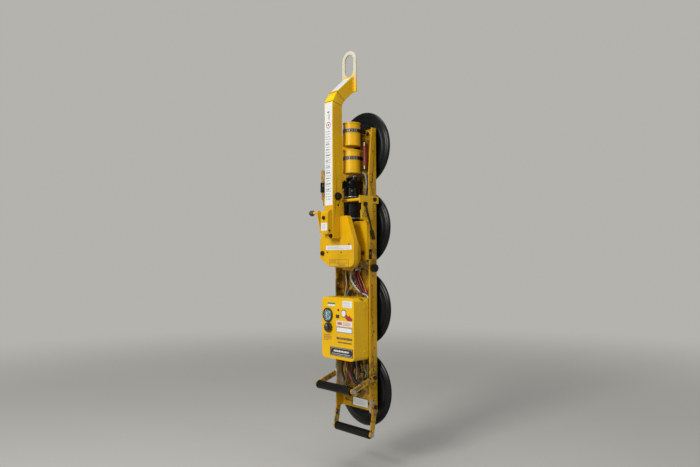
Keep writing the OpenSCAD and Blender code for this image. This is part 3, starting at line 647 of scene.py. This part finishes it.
def turned(name, profile, centre, axis, body, material, steps=48, slot=None):
    bm = bmesh.new()
    add_lathe(bm, profile, centre, axis, steps)
    return finish_piece(name, bm, body, material)


def add_bar(bm, centre, axis, radius, height, edge, steps, start=0.0):
    """A solid round bar with softly rounded ends."""
    quarter = [math.radians(90 * k / 4) for k in range(5)]
    profile = [(0.0, start)]
    profile += [(radius - edge + edge * math.sin(a), start + edge - edge * math.cos(a)) for a in quarter]
    profile += [(radius - edge + edge * math.cos(a), height - edge + edge * math.sin(a)) for a in quarter]
    profile.append((0.0, height))
    add_lathe(bm, profile, centre, axis, steps)


def band(inner, outer, foot, height, slope):
    """Profile of a ring whose sides lean by slope."""
    return [(inner, foot), (outer, foot + slope), (outer, foot + height - slope), (inner, foot + height)]


def add_hex(bm, centre, axis, flats, height, turn=0.0):
    """A hexagon nut or bolt head with a chamfered crown, outwards along axis from centre."""
    axis = Vector(axis).normalized()
    side = axis.orthogonal().normalized()
    corner = flats / math.sqrt(3)
    levels = ((corner, 0.0), (corner, 0.82 * height), (0.86 * corner, height))
    loft(bm, [circle(bm, Vector(centre) + h * axis, side, axis.cross(side), r, 6, turn) for r, h in levels])


def weld_bead(name, points, radius, material):
    """A rippled fillet of weld along a line on the lift arm."""
    line = []
    for a, b in zip(points, points[1:]):
        a, b = Vector(a), Vector(b)
        count = max(4, int((b - a).length / 1.1))
        line += [a.lerp(b, k / count) for k in range(count)]
    line.append(Vector(points[-1]))
    ripple = [radius * (0.86 + 0.24 * (i % 3 == 0) + 0.12 * rng.random()) for i in range(len(line))]
    bm = bmesh.new()
    add_tube(bm, line, ripple, 8)
    finish_piece(name, bm, "lift_arm", material)


# ---- pads and springs

PAD_NUMBERS = range(1, 5)
AIR_HOLE = 4.0
CAVITY = 7.5
BOSS = 76.0
RIB_PITCH = 13
SMALLEST_RIB = 24


def pad_profile(radius, back, cavity):
    """Back face, thin flexible edge, sealing lip and inner ribs, from the air hole out and back again."""
    back_side = [(AIR_HOLE, back), (BOSS, back)]
    back_side += [(BOSS + 1, back + 0.7), (BOSS + 3, back + 0.7), (BOSS + 4, back)]
    back_side += [(radius - inset, back + rise) for inset, rise in
                  ((31, 0), (28.5, 0.4), (26.5, 1.4), (22, 2.6), (15, 4.1), (11.4, 4.9), (10.6, 5.7),
                   (9.6, 5.8), (8.8, 6.0))]
    lip = [(radius - inset, y) for inset, y in
           ((5, -7.4), (2.2, -5.0), (0.6, -3.6), (0, -2.6), (0, -1.5), (0.6, -0.5), (1.6, 0.0), (5.6, 0.0),
            (6.6, -0.5), (10, -2.7), (13, -4.6), (18, -6.1), (23, cavity))]
    ribs = []
    r = radius - 29
    while r > SMALLEST_RIB:
        ribs += [(r, cavity), (r - 0.8, cavity + 1.5), (r - 2.2, cavity + 1.5), (r - 3.0, cavity)]
        r -= RIB_PITCH
    return back_side + lip + ribs + [(AIR_HOLE, cavity)]


for number in PAD_NUMBERS:
    node = f"vacuum_pad_{number}"
    low, high = span_of(node)
    middle = (low + high) / 2
    piece = turned(f"rubber_pad_{number}", pad_profile((high.x - low.x) / 2, low.y, low.y + CAVITY),
                   (middle.x, 0, middle.z), Y, f"pad_{number}", pad_rubber, 160, slot="pad_rubber")
    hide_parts(node)


def coil(name, place, low, high, turns, node, body):
    """A spring along Y with flat end coils, filling the length between low and high."""
    wire = 1.0
    radius = (high.x - low.x) / 2 - wire
    steps = int(turns * 20)
    line = []
    for k in range(steps + 1):
        t = k / steps
        rise = min(1.0, max(0.0, (t * turns - 0.6) / (turns - 1.2)))
        a = 2 * math.pi * turns * t
        line.append(Vector((place.x + radius * math.cos(a), low.y + wire + (high.y - low.y - 2 * wire) * rise,
                            place.z + radius * math.sin(a))))
    bm = bmesh.new()
    add_tube(bm, line, [wire] * len(line), 8)
    spring = finish_piece(name, bm, body, spring_steel)
    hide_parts(node)
    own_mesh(spring)


low, high = span_of("pad_springs")
for number in PAD_NUMBERS:
    middle = sum(span_of(f"pad_mount_{number}"), Vector()) / 2
    coil(f"pad_spring_{number}", middle, low, high, 4, "pad_springs", "pad_frame")
low, high = span_of("latch_pin_spring")
coil("latch_spring", (low + high) / 2, low, high, 7, "latch_pin_spring", "lift_arm")


# ---- handles

GRIP_BORE = 8.1
GROOVES_EACH_SIDE = 18
WASHER = 1.6

for place in ("upper", "lower"):
    low, high = span_of(f"{place}_handle_grip")
    middle = (low + high) / 2
    half = (high.x - low.x) / 2
    r = (high.y - low.y) / 2
    collar = [(GRIP_BORE, -half)]
    collar += [(r - inset, -half + x) for inset, x in ((1.6, 0), (0.5, 0.5), (0, 1.8), (0, 5.0), (0.9, 6.4))]
    grooves = []
    for k in range(-GROOVES_EACH_SIDE, GROOVES_EACH_SIDE + 1):
        x = k * (half - 9) / GROOVES_EACH_SIDE
        grooves += [(r - 0.75, x - 1.3), (r - 0.35, x - 0.6), (r - 0.35, x + 0.6), (r - 0.75, x + 1.3)]
    far_collar = [(radius, -x) for radius, x in reversed(collar)]
    grip = turned(f"{place}_grip_sleeve", collar + grooves + far_collar, middle, X, "pad_frame", grip_rubber,
                  40, slot="grip_rubber")
    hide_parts(f"{place}_handle_grip")
    frame_low, frame_high = span_of(f"{place}_handle_frame")
    bm = bmesh.new()
    for side, x in ((-1, frame_low.x), (1, frame_high.x)):
        add_bar(bm, (x + 0.02 * side, middle.y, middle.z), side * X, 8.2, WASHER, 0.5, 28)
        add_hex(bm, (x + WASHER * side, middle.y, middle.z), side * X, 11.5, 4.6, 0.3)
    finish_piece(f"{place}_grip_end_bolts", bm, "pad_frame", zinc_steel, smooth=False)


# ---- labels on the lift arm

arm = Face("lift_arm_tube", "front", "lift_arm")
LABEL_FOOT = 110.0
LABEL_TOP = 452.0
RING = LABEL_TOP - 75
arm.label("arm_label", -18.8, 18.8, LABEL_FOOT, LABEL_TOP, white_film, 0.3, 2.0)
arm.stamp("arm_label_lines", dashes(-14, 14, LABEL_FOOT + 16, LABEL_TOP - 92, 27, 0.42, 12.0, 0.35),
          blue_ink, 0.3, 0.36)
arm.stamp("arm_label_print", dashes(-12, 10, LABEL_FOOT + 42, LABEL_TOP - 128, 9, 0.12, 9.0, 0.5),
          ink, 0.3, 0.38)
bm = bmesh.new()
add_lathe(bm, [(11.0, 0.3), (11.0, 0.4), (8.8, 0.4), (8.8, 0.3)], arm.at(0, RING), -Y, 32)
finish_piece("arm_label_ring", bm, "lift_arm", red_ink, smooth=False)
arm.stamp("arm_label_drawing", [rounded(-5.5, 6.5, LABEL_TOP - 33, LABEL_TOP - 30, 1.0, 2),
                                rounded(-1.0, 0.4, LABEL_TOP - 56, LABEL_TOP - 34, 0.5, 2),
                                rounded(4.2, 5.6, LABEL_TOP - 60, LABEL_TOP - 38, 0.5, 2),
                                disc(0, RING, 3.2)], ink, 0.3, 0.4)


class Slope(Face):
    """The slanting front side of the arm, found from the tube's own faces. v runs up from its lower edge."""

    def __init__(self, node, body):
        low, high = span_of(node)
        self.body = body
        mesh = NODES[node].data
        areas = {}
        for f in mesh.polygons:
            if f.normal.y < -0.1 and f.normal.z > 0.1:
                degrees = round(math.degrees(math.atan2(f.normal.z, -f.normal.y)))
                areas[degrees] = areas.get(degrees, 0.0) + f.area
        rise = math.radians(max(areas, key=areas.get))
        up = Vector((0, math.sin(rise), math.cos(rise)))
        outwards = Vector((0, -math.cos(rise), math.sin(rise)))
        corners = [mesh.vertices[i].co / MM for f in mesh.polygons if f.normal.dot(outwards) > 0.995
                   for i in f.vertices]
        outer = max(c.dot(outwards) for c in corners)
        corners = [c for c in corners if outer - c.dot(outwards) < 1.0]
        self.length = max(c.dot(up) for c in corners) - min(c.dot(up) for c in corners)
        start = min(corners, key=lambda c: c.dot(up))
        self.origin = Vector(((low.x + high.x) / 2, start.y, start.z))
        self.axes = X, up, outwards


slope = Slope("lift_arm_tube", "lift_arm")
slope.label("slope_label", -17.5, 17.5, 12, slope.length - 10, white_film, 0.3, 2.0)
slope.stamp("slope_label_lines", dashes(-13, 13, 20, slope.length - 18, 6, 0.4, 9.0), blue_ink, 0.3, 0.36)

latch = Face("latch_box", "front", "lift_arm")
latch.label("latch_sticker", -15.5, 15.5, 11, 37, white_film, 0.3, 1.5)
latch.stamp("latch_sticker_lines", dashes(-11, 11, 15, 33, 4, 0.4, 8.0), blue_ink, 0.3, 0.36)

housing = Face("tilt_housing", "front", "lift_arm")
housing.label("housing_label", -54, 75.5, 60, 74.4, white_film, 0.3, 1.5)
housing.stamp("housing_label_lines", dashes(-44, 68, 62.5, 71.5, 2, 0.45, 9.0, 0.05), blue_ink, 0.3, 0.38)
PLATE_THICK = 0.9
bm = bmesh.new()
housing.prism(bm, rounded(-36.5, 59.7, 3.4, 28, 2.0), 0.0, PLATE_THICK)
finish_piece("housing_plate", bm, "lift_arm", yellow_paint, bevel=0.25)
plate_lines = [bar(-35, 58, 15.6, 16.4), bar(8, 8.8, 4.5, 27), bar(-35.6, 58.9, 4.2, 5.1),
               bar(-35.6, 58.9, 26.6, 27.5), bar(-35.8, -34.9, 4.2, 27.5), bar(58.2, 59.1, 4.2, 27.5)]
plate_print = dashes(-31, 5, 18, 25, 2, 0.4, 6.0) + dashes(12, 54, 7, 14, 2, 0.4, 6.0)
housing.stamp("housing_plate_lines", plate_lines + plate_print, ink, PLATE_THICK, PLATE_THICK + 0.1)
bm = bmesh.new()
for u, v in ((-46, 52), (24, 52), (-64, 150), (62, 78)):
    add_bar(bm, housing.at(u, v), -Y, 2.6, 1.3, 0.8, 16)
finish_piece("housing_rivets", bm, "lift_arm", dark_bolt)


# ---- welds of the lift arm and the eye

WELD = 2.0
arm_low, arm_high = span_of("lift_arm_tube")
housing_low, housing_high = span_of("tilt_housing")
weld_y = housing_low.y - 0.6
for side, x in (("left", arm_low.x - 0.2), ("right", arm_high.x + 0.2)):
    weld_bead(f"arm_weld_{side}", [(x, weld_y, arm_low.z + 4), (x, weld_y, housing_high.z - 2)],
              WELD, arm_paint)
weld_bead("arm_weld_foot", [(x, housing_low.y - 1.0, arm_low.z - 0.6) for x in (arm_low.x, arm_high.x)],
          WELD, arm_paint)
eye_low = span_of("lifting_eye")[0]
for side, x in (("left", arm_low.x - 0.8), ("right", arm_high.x + 0.8)):
    weld_bead(f"eye_weld_{side}", [(x, eye_low.y - 0.8, eye_low.z + 3), (x, eye_low.y - 0.8, arm_high.z - 1)],
              WELD, arm_paint)


# ---- control box front

box = Face("control_box_cover", "front", "pad_frame")
box.label("box_label_white", 25, 71.5, 173, 195, white_film)
box.stamp("box_label_white_print", dashes(29, 67, 176, 192, 4, 0.35, 9.0), blue_ink, 0.25, 0.32)
box.label("box_label_green", -50, -11.5, 181, 186.5, green_ink, r=0.8)
box.label("box_label_small", -50, -11.5, 175, 181, white_film, r=0.8)
box.label("box_label_pink", -5, 72, 111, 128, pale_film)
pink_print = dashes(0, 22, 114, 125, 1, 0.8, 5.0, 0.0) + dashes(27, 67, 113.5, 125.5, 3, 0.4, 8.0)
box.stamp("box_label_pink_print", pink_print, red_ink, 0.25, 0.32)
box.label("box_label_border", -5, 72, 89.5, 108, strong_blue)
box.label("box_label_blue", -3, 70, 91.5, 106, white_film, 0.32, 1.0, 0.2)
blue_print = dashes(1, 22, 94, 104, 1, 0.75, 6.0, 0.0) + dashes(27, 66, 93.5, 104, 3, 0.4, 8.0)
box.stamp("box_label_blue_print", blue_print, strong_blue, 0.32, 0.39)
box.label("box_badge", 17.5, 43.5, 140, 166, ink, 0.25, 12.9)
box.label("box_badge_face", 20, 41, 142.5, 163.5, white_film, 0.32, 10.4, 0.2)
box.stamp("box_badge_print", [rounded(28.6, 32.4, 147, 156, 1.0, 2), disc(30.5, 159.4, 1.7, 16)],
          ink, 0.32, 0.39)
TORN_STICKER = [(38, 139), (44, 152), (52, 144), (60, 149), (66, 140), (72.5, 141), (72.5, 130.5), (52, 130)]
box.stamp("box_red_mark", [TORN_STICKER], red_ink, 0.02, 0.24)
box.stamp("box_small_print_red", dashes(-70, -32, 74, 79, 1, 0.5, 8.0), red_ink, 0.0, 0.1)
box.stamp("box_small_print", dashes(-70, -28, 63, 73.5, 3, 0.42, 7.0), ink, 0.0, 0.1)
box.stamp("box_small_print_foot", dashes(-70, -42, 58, 62, 1, 0.5, 8.0), red_ink, 0.0, 0.1)
large_print = dashes(-5, 72, 65.5, 75, 1, 0.82, 6.0, 0.0) + dashes(2, 70, 53.5, 61, 1, 0.6, 6.0, 0.05)
box.stamp("box_large_print", large_print, ink, 0.0, 0.1)

box.label("box_nameplate", -37, 75, 11.4, 39.6, plate_black, PLATE_THICK, 1.5)
plate_border = [bar(-34.5, 72.5, v, v + 0.8) for v in (13.4, 36.8)]
plate_print = dashes(-18, 56, 23, 32.5, 1, 0.6, 9.0, 0.0) + dashes(-26, 64, 17, 20.5, 1, 0.5, 6.0, 0.0)
box.stamp("box_nameplate_print", plate_border + plate_print, white_film, PLATE_THICK, 0.98)
bm = bmesh.new()
for u in (-32.5, 70.5):
    for v in (17.2, 33.8):
        add_bar(bm, box.at(u, v, PLATE_THICK), -Y, 1.7, 0.8, 0.6, 14)
finish_piece("box_nameplate_rivets", bm, "pad_frame", zinc_steel)


# ---- gauge and knob

dial_low, dial_high = span_of("gauge_dial")
dial_middle = (dial_low + dial_high) / 2
case_low, case_high = span_of("gauge_case")
case_r = (case_high.x - case_low.x) / 2
dial = Face("gauge_dial", "front", "pad_frame")
cv = (dial_high.z - dial_low.z) / 2
SWEEP = 270
DIVISIONS = 10
bm = bmesh.new()
for k in range(DIVISIONS + 1):
    a = math.radians(225 - SWEEP * k / DIVISIONS)
    c, s = math.cos(a), math.sin(a)
    inner, outer, half = (12.6, 15.6, 0.40) if k % 5 == 0 else (14.2, 15.6, 0.18)
    tick = [(r * c + t * s, cv + r * s - t * c)
            for r, t in ((inner, half), (outer, half), (outer, -half), (inner, -half))]
    dial.prism(bm, tick, 0.0, 0.12)
finish_piece("gauge_scale", bm, "pad_frame", white_film, smooth=False)
angles = [math.radians(95 + 7.5 * k) for k in range(19)]
arc = [(18.0 * math.cos(a), cv + 18.0 * math.sin(a)) for a in angles]
arc += [(16.4 * math.cos(a) + 0.8, cv + 16.4 * math.sin(a)) for a in reversed(angles)]
dial.stamp("gauge_arc", [arc], white_film, 0.0, 0.14)
bezel = [(case_r + d, h) for d, h in
         ((-4.2, -0.4), (-0.8, -0.4), (0.1, 0.8), (0.1, 2.4), (-0.9, 3.4), (-2.6, 3.6), (-4.2, 2.6))]
turned("gauge_bezel", bezel, (dial_middle.x, case_low.y + 3.0, dial_middle.z), -Y, "pad_frame",
       black_plastic, 64)

knob_low, knob_high = span_of("valve_knob")
knob_r = (knob_high.z - knob_low.z) / 2
knob = Face("valve_knob", "front", "valve_knob")
knob.stamp("knob_line", [rounded(-0.9, 0.9, knob_r + 3, knob_r + 11, 0.8, 3)], white_film, 0.0, 0.15)


# ---- rivets, bolts and signs of the channel

SHEET = 4.0
channel_low, channel_high = span_of("frame_channel")
web_y = channel_high.y - SHEET
bm = bmesh.new()
for side, x in ((-1, channel_low.x), (1, channel_high.x)):
    for v in (42, 96, 142, 214, 268, 296, 382, 452, 560, 640, 790, 868):
        place = (x, channel_low.y + 9 + 3 * (v % 5), channel_low.z + v)
        add_bar(bm, place, side * X, 2.2, 1.2, 0.7, 14)
finish_piece("flange_rivets", bm, "pad_frame", dark_bolt)


def triangle(u, v, size):
    """An upright triangle with its corners cut, centred on (u, v)."""
    angles = [math.radians(a + turn) for a in (90, 210, 330) for turn in (-7, 7)]
    return [(u + size * math.cos(a), v + size * math.sin(a)) for a in angles]


guard = Face("pump_guard", "right", "pad_frame")
flange = Face("frame_channel", "right", "pad_frame")
for name, face, u, v in (("cheek_sign", guard, 24, 18), ("flange_sign", flange, 16, 673)):
    face.label(f"{name}_back", u - 12, u + 12, v - 8.5, v + 14.5, sign_yellow)
    face.stamp(f"{name}_edge", [triangle(u, v, 13)], ink)
    face.stamp(f"{name}_field", [triangle(u, v, 9.4)], sign_yellow, 0.33, 0.38)
    face.stamp(f"{name}_dot", [disc(u, v, 2.2, 16)], ink, 0.38, 0.42)
bm = bmesh.new()
for x, z in ((50.3, 455.5), (-58.0, 455.5), (52.0, -455.0), (-60.0, -380.0)):
    add_hex(bm, (x, web_y, z), -Y, 9.0, 4.0, 0.2)
    add_bar(bm, (x, web_y, z), -Y, 7.0, 1.2, 0.4, 20, -0.05)
finish_piece("web_bolts", bm, "pad_frame", dark_bolt, smooth=False)
web = Face("frame_channel", "front", "pad_frame", web_y - channel_low.y)
web.label("web_label", -28, 44, 8, 34, white_film, 0.3, 1.5)
web.stamp("web_label_print", dashes(-22, 38, 12, 30, 4, 0.4, 9.0), blue_ink, 0.3, 0.36)


# ---- loose hoses and wires

# A line's points are (x, y, rise over the level its row starts from). Upper lines run from behind the index
# disc to the top of the control box, lower lines from the box down the channel. Both end behind the box.
disc_low, disc_high = span_of("index_disc")
behind = (disc_high.y + channel_high.y - SHEET) / 2
box_low, box_high = span_of("control_box_tray")
box_back = box_high.y + 12.0
upper_lines = (
    ("green_strip_line", green_strip, 3.0, (-55, -42, 2),
     (-50, behind, 14), (-56, -38, -8), (-49, -41, -46)),
    ("clear_line", clear_hose, 3.2, (62, -47, 2),
     (-20, behind, 16), (-22, -42, -6), (-16, -50, -30), (12, -50, -60), (40, -49, -76)),
    ("wine_hose_line", wine_hose, 4.4, (41, -49, 4),
     (2, behind, 12), (0, behind - 3, -6), (4, -46, -22), (21, -49, -49)),
    ("red_hose_line", red_hose, 4.0, (52, -44, 4),
     (12, behind, 12), (9, behind - 2, -7), (14, -42, -26), (30, -43, -56)),
    ("orange_wire_line", orange_wire, 1.5, (54, -41, 2),
     (18, behind, 18), (14, -38, -10), (32, -38, -44)),
    ("white_wire_line", white_wire, 1.4, (-46, -43, 2),
     (24, behind, 18), (6, -37, -20), (-12, -42, -46), (-30, -43, -60)),
)
for name, material, radius, over_box, *points in upper_lines:
    run = [(x, y, disc_low.z + rise) for x, y, rise in points]
    x, y, rise = over_box
    hose(name, (*run, (x, y, box_high.z + rise), (x, box_back, box_high.z - 22)), radius, material)
lower_lines = (
    ("amber_hose", brass_fitting, 4.2,
     (-46, -48, -30), (-38, -49, -62), (-50, -48, -98), (-44, -36, -112)),
    ("clear_loop", green_strip, 1.8,
     (44, -48, -18), (49, -50, -36), (56, -49, -46), (47, -46, -64), (44, -46, -74)),
    ("black_line_left", black_hose, 6.0,
     (-8, -47, -24), (-12, -51, -52), (-4, -50, -74), (14, -49, -90), (30, -49, -84)),
    ("black_line_right", black_hose, 5.0,
     (20, -50, -20), (30, -54, -38), (34, -53, -56), (38, -50, -66)),
    ("dark_cable", black_hose, 3.6,
     (-62, -46, -20), (-66, -48, -50), (-58, -46, -80), (-64, -40, -110)),
    ("white_wire_low", white_wire, 1.4,
     (2, -44, -20), (8, -46, -44), (2, -44, -70), (12, -40, -92)),
)
for name, material, radius, *points in lower_lines:
    run = [(x, y, box_low.z + rise) for x, y, rise in points]
    hose(name, ((points[0][0], box_back, box_low.z + 16), *run), radius, material)
channel = Face("frame_channel", "front", "pad_frame")
channel.label("flange_tab", -85.5, -81.8, 128, 146, green_ink, 0.6, 0.8)
channel.label("flange_tab_white", -85.5, -81.8, 118, 129, white_film, 0.6, 0.8)


# ---- pump

HEAD_HALF = 13
head_low, head_high = span_of("pump_head")
pump = (head_low + head_high) / 2
can_low, can_high = span_of("pump_motor_can")
can = (can_low + can_high) / 2
can_r = (can_high.x - can_low.x) / 2
bm = bmesh.new()
for x in (pump.x - HEAD_HALF, pump.x + HEAD_HALF):
    add_bar(bm, (x, pump.y, head_high.z), Z, 6.0, 5.0, 0.8, 24)
    add_hex(bm, (x, pump.y, head_high.z + 5.0), Z, 8.0, 3.5, 0.2)
for rise, half, sunk in ((40, 19, 2.0), (12, 22, 8.5)):
    for x in (pump.x - half, pump.x + half):
        add_hex(bm, (x, head_low.y + sunk, head_low.z + rise), -Y, 6.5, 3.4, 0.1)
finish_piece("pump_screws", bm, "pad_frame", zinc_steel, smooth=False)
bm = bmesh.new()
for k in range(7):
    fin = band(11.2, 13.6, head_low.z + 24.5 + 3.2 * k, 1.6, 0.4)
    for x in (pump.x - HEAD_HALF, pump.x + HEAD_HALF):
        add_lathe(bm, fin, (x, head_low.y + 11, 0), Z, 28)
finish_piece("pump_fins", bm, "pad_frame", black_casting)
bm = bmesh.new()
for foot in (can_low.z + 6, can_high.z - 10):
    add_lathe(bm, band(can_r + 0.02, can_r + 0.9, foot, 4, 0.5), (can.x, can.y, 0), Z, 64)
finish_piece("motor_bands", bm, "pad_frame", zinc_steel)
over_can = [(x, y, can_high.z + rise) for x, y, rise in
            ((52, -46, -12), (60, -50, 12), (64, -50, 34), (59, -50, 62), (46, -50, 74))]
hose("pump_grey_tube", over_can, 4.4, strap_grey)
outlet = ((pump.x - 13, pump.y - 2, head_high.z + 6), (pump.x - 20, pump.y + 8, head_high.z - 2),
          (pump.x - 38, -50, head_high.z - 20), (pump.x - 48, -46, head_high.z - 56))
hose("pump_outlet_hose", outlet, 3.6, black_hose)
beside_can = [(x, y, can_high.z + rise) for x, y, rise in
              ((-24, -52, 30), (-40, -56, 12), (-52, -50, -20), (-56, -40, -60))]
hose("pump_red_wire", beside_can, 1.5, red_hose)


# ---- reservoir straps

def arc_patches(bm, centre, radius, rows, spans, thick):
    """Thin curved patches on an upright cylinder, one for each row (low, high) and span of degrees."""
    for (foot, top), (start, end) in ((row, span) for row in rows for span in spans):
        section = ((radius, foot), (radius + thick, foot), (radius + thick, top), (radius, top))
        count = max(2, int((end - start) / 6))
        rings = []
        for k in range(count + 1):
            a = math.radians(start + (end - start) * k / count)
            places = [Vector((centre.x + r * math.cos(a), centre.y + r * math.sin(a), z)) for r, z in section]
            rings.append([bm.verts.new(place * MM) for place in places])
        loft(bm, rings)


tank_low, tank_high = span_of("reservoirs")
tank = (tank_low + tank_high) / 2
strap_low, strap_high = span_of("reservoir_straps")
strap_r = (tank_high.x - tank_low.x) / 2 + 0.02
bm_grey = bmesh.new()
bm_pale = bmesh.new()
for foot in (strap_low.z, strap_high.z - 12):
    spans = []
    a = -168.0
    while a < -8:
        length = 5 + 9 * rng.random()
        spans.append((a, min(a + length, -4)))
        a += length + 3 + 3 * rng.random()
    arc_patches(bm_grey, tank, strap_r, ((foot + 3, foot + 9),), spans, 0.2)
    edges = ((foot + 0.4, foot + 1.6), (foot + 10.4, foot + 11.6))
    arc_patches(bm_pale, tank, strap_r, edges, ((-175, -2),), 0.25)
finish_piece("strap_print", bm_grey, "pad_frame", strap_grey, smooth=False)
finish_piece("strap_edges", bm_pale, "pad_frame", hub_tape, smooth=False)


# ---- inlet filter

# A black bowl with knurled bands over the filter's lower part, and a brass drain below it
filter_low, filter_high = span_of("inlet_filter")
filter_axis = Vector((filter_low.x + 12.0, (filter_low.y + filter_high.y) / 2, 0))
bowl_z = filter_low.z + 40.0
bm = bmesh.new()
bowl = [(12.02, bowl_z + 0.4), (13.0, bowl_z + 1.2), (13.0, bowl_z + 34), (12.02, bowl_z + 35)]
add_lathe(bm, bowl, filter_axis, Z, 40)
for k in range(4):
    add_lathe(bm, band(12.9, 13.7, bowl_z + 4 + 7 * k, 3.0, 0.8), filter_axis, Z, 40)
finish_piece("filter_bowl", bm, "pad_frame", black_casting)
bm = bmesh.new()
add_hex(bm, filter_axis + (bowl_z - 24.2) * Z, -Z, 10.0, 7.0, 0.2)
add_bar(bm, filter_axis + (bowl_z - 31) * Z, -Z, 3.2, 14.0, 0.8, 18)
finish_piece("filter_drain", bm, "pad_frame", brass_fitting, smooth=False)


# ---- foot bolt and seams of the arm

foot_bolt = Vector((arm_high.x - 9, arm_low.y, arm_low.z + 8))
bm = bmesh.new()
add_bar(bm, foot_bolt, -Y, 7.5, 1.8, 0.4, 24, 0.02)
add_hex(bm, foot_bolt - 1.8 * Y, -Y, 10.0, 5.0, 0.2)
finish_piece("arm_foot_bolt", bm, "lift_arm", black_steel, smooth=False)

# The tube is cut and welded at both corners of its bend: points of its side outline, in front and behind
corners = [v.co / MM for v in NODES["lift_arm_tube"].data.vertices]
outline = [p for p in corners if abs(p.x - arm_high.x) < 0.01]
depth = arm_high.x - arm_low.x
front_low = max((p for p in outline if p.y < arm_low.y + 0.1), key=lambda p: p.z)
rear_low = max((p for p in outline if abs(p.y - arm_low.y - depth) < 0.1), key=lambda p: p.z)
front_high = min((p for p in outline if p.z > front_low.z + 5), key=lambda p: p.y)
rear_high = min((p for p in outline if p.y > rear_low.y + 2), key=lambda p: p.z)
left, right = arm_low.x - 0.1, arm_high.x + 0.1
for name, front, rear in (("low", front_low, rear_low), ("high", front_high, rear_high)):
    ahead = front - 0.2 * Y
    loop = [(left, *rear.yz), (left, *ahead.yz), (right, *ahead.yz), (right, *rear.yz)]
    weld_bead(f"arm_seam_{name}", loop, 0.55, rust_seam)


# ---- floor and backdrop

WALL = (0.455, 0.450, 0.418)
FLOOR_HALF = 60.0
FLOOR_GAP = 0.12
AMBIENT = 0.42


def stage_material(name, low, high):
    """Pale floor paint that melts into the backdrop far from the object."""
    m = Mat(name)
    base = m.mix(m.step(m.noise(0.35, 3.0), 0.35, 0.65), low, high)
    m.close(base, m.span(m.noise(3.0), 0.75, 0.9), 0.0, m.bump(m.noise(40.0, 3.0), 0.002, 0.15))
    glow = m.add("ShaderNodeEmission")
    glow.inputs["Color"].default_value = (*WALL, 1.0)
    distance = m.add("ShaderNodeVectorMath", operation="LENGTH")
    m.plug(distance.inputs[0], m.coord)
    m.blend(m.step(distance.outputs["Value"], 1.0, 4.5), glow)
    return m.mat


floor_mesh = bpy.data.meshes.new("floor")
floor_z = cad_box[0].z - FLOOR_GAP
floor_corners = [(x * FLOOR_HALF, y * FLOOR_HALF, floor_z) for x, y in ((-1, -1), (1, -1), (1, 1), (-1, 1))]
floor_mesh.from_pydata(floor_corners, [], [(0, 1, 2, 3)])
floor = bpy.data.objects.new("floor", floor_mesh)
bpy.context.scene.collection.objects.link(floor)
floor_mesh.materials.append(stage_material("pale_floor", (0.50, 0.495, 0.475), (0.53, 0.525, 0.505)))

# The backdrop shows at full strength to the camera and lights the object only softly.
world = bpy.data.worlds.new("studio")
bpy.context.scene.world = world
world.use_nodes = True
background = world.node_tree.nodes["Background"]
background.inputs["Color"].default_value = (*WALL, 1.0)
ray = world.node_tree.nodes.new("ShaderNodeLightPath")
strength = world.node_tree.nodes.new("ShaderNodeMapRange")
strength.inputs["To Min"].default_value = AMBIENT
strength.inputs["To Max"].default_value = 1.0
world.node_tree.links.new(ray.outputs["Is Camera Ray"], strength.inputs["Value"])
world.node_tree.links.new(strength.outputs["Result"], background.inputs["Strength"])


# ---- light and camera

def area_light(name, place, size, power, tint=(1.0, 1.0, 1.0)):
    """A soft rectangular light in metres and watts, aimed at the middle of the object."""
    data = bpy.data.lights.new(name, "AREA")
    data.shape = "RECTANGLE"
    data.size, data.size_y = size
    data.energy = power
    data.color = tint
    obj = bpy.data.objects.new(name, data)
    obj.location = place
    obj.rotation_euler = (-Vector(place)).to_track_quat("-Z", "Y").to_euler()
    bpy.context.scene.collection.objects.link(obj)


area_light("key", (0.6, -3.8, 1.7), (1.2, 1.7), 122, (1.0, 0.985, 0.95))
area_light("fill", (3.6, 0.2, 1.0), (1.0, 2.6), 13, (0.98, 0.99, 1.0))
area_light("top", (0.2, -0.8, 3.2), (1.8, 1.8), 48)
area_light("back", (1.5, 3.4, 1.5), (1.6, 2.4), 12)

CAMERA_PLACE = (1.5637, -1.4959, 0.0399)
YAW, PITCH, ROLL = (math.radians(a) for a in (47.609, 2.083, -0.251))
camera_data = bpy.data.cameras.new("camera")
camera_data.sensor_width = 36.0
camera_data.lens = 32.018
camera_data.clip_start = 0.05
camera = bpy.data.objects.new("camera", camera_data)
bpy.context.scene.collection.objects.link(camera)
forward = Vector((-math.sin(YAW) * math.cos(PITCH), math.cos(YAW) * math.cos(PITCH), math.sin(PITCH)))
level = Vector((math.cos(YAW), math.sin(YAW), 0.0))
upright = level.cross(forward)
across = math.cos(ROLL) * level + math.sin(ROLL) * upright
above = across.cross(forward)
turn = Matrix((across, above, -forward)).transposed().to_4x4()
camera.matrix_world = Matrix.Translation(CAMERA_PLACE) @ turn
bpy.context.scene.camera = camera
bpy.context.scene.view_settings.view_transform = "Standard"
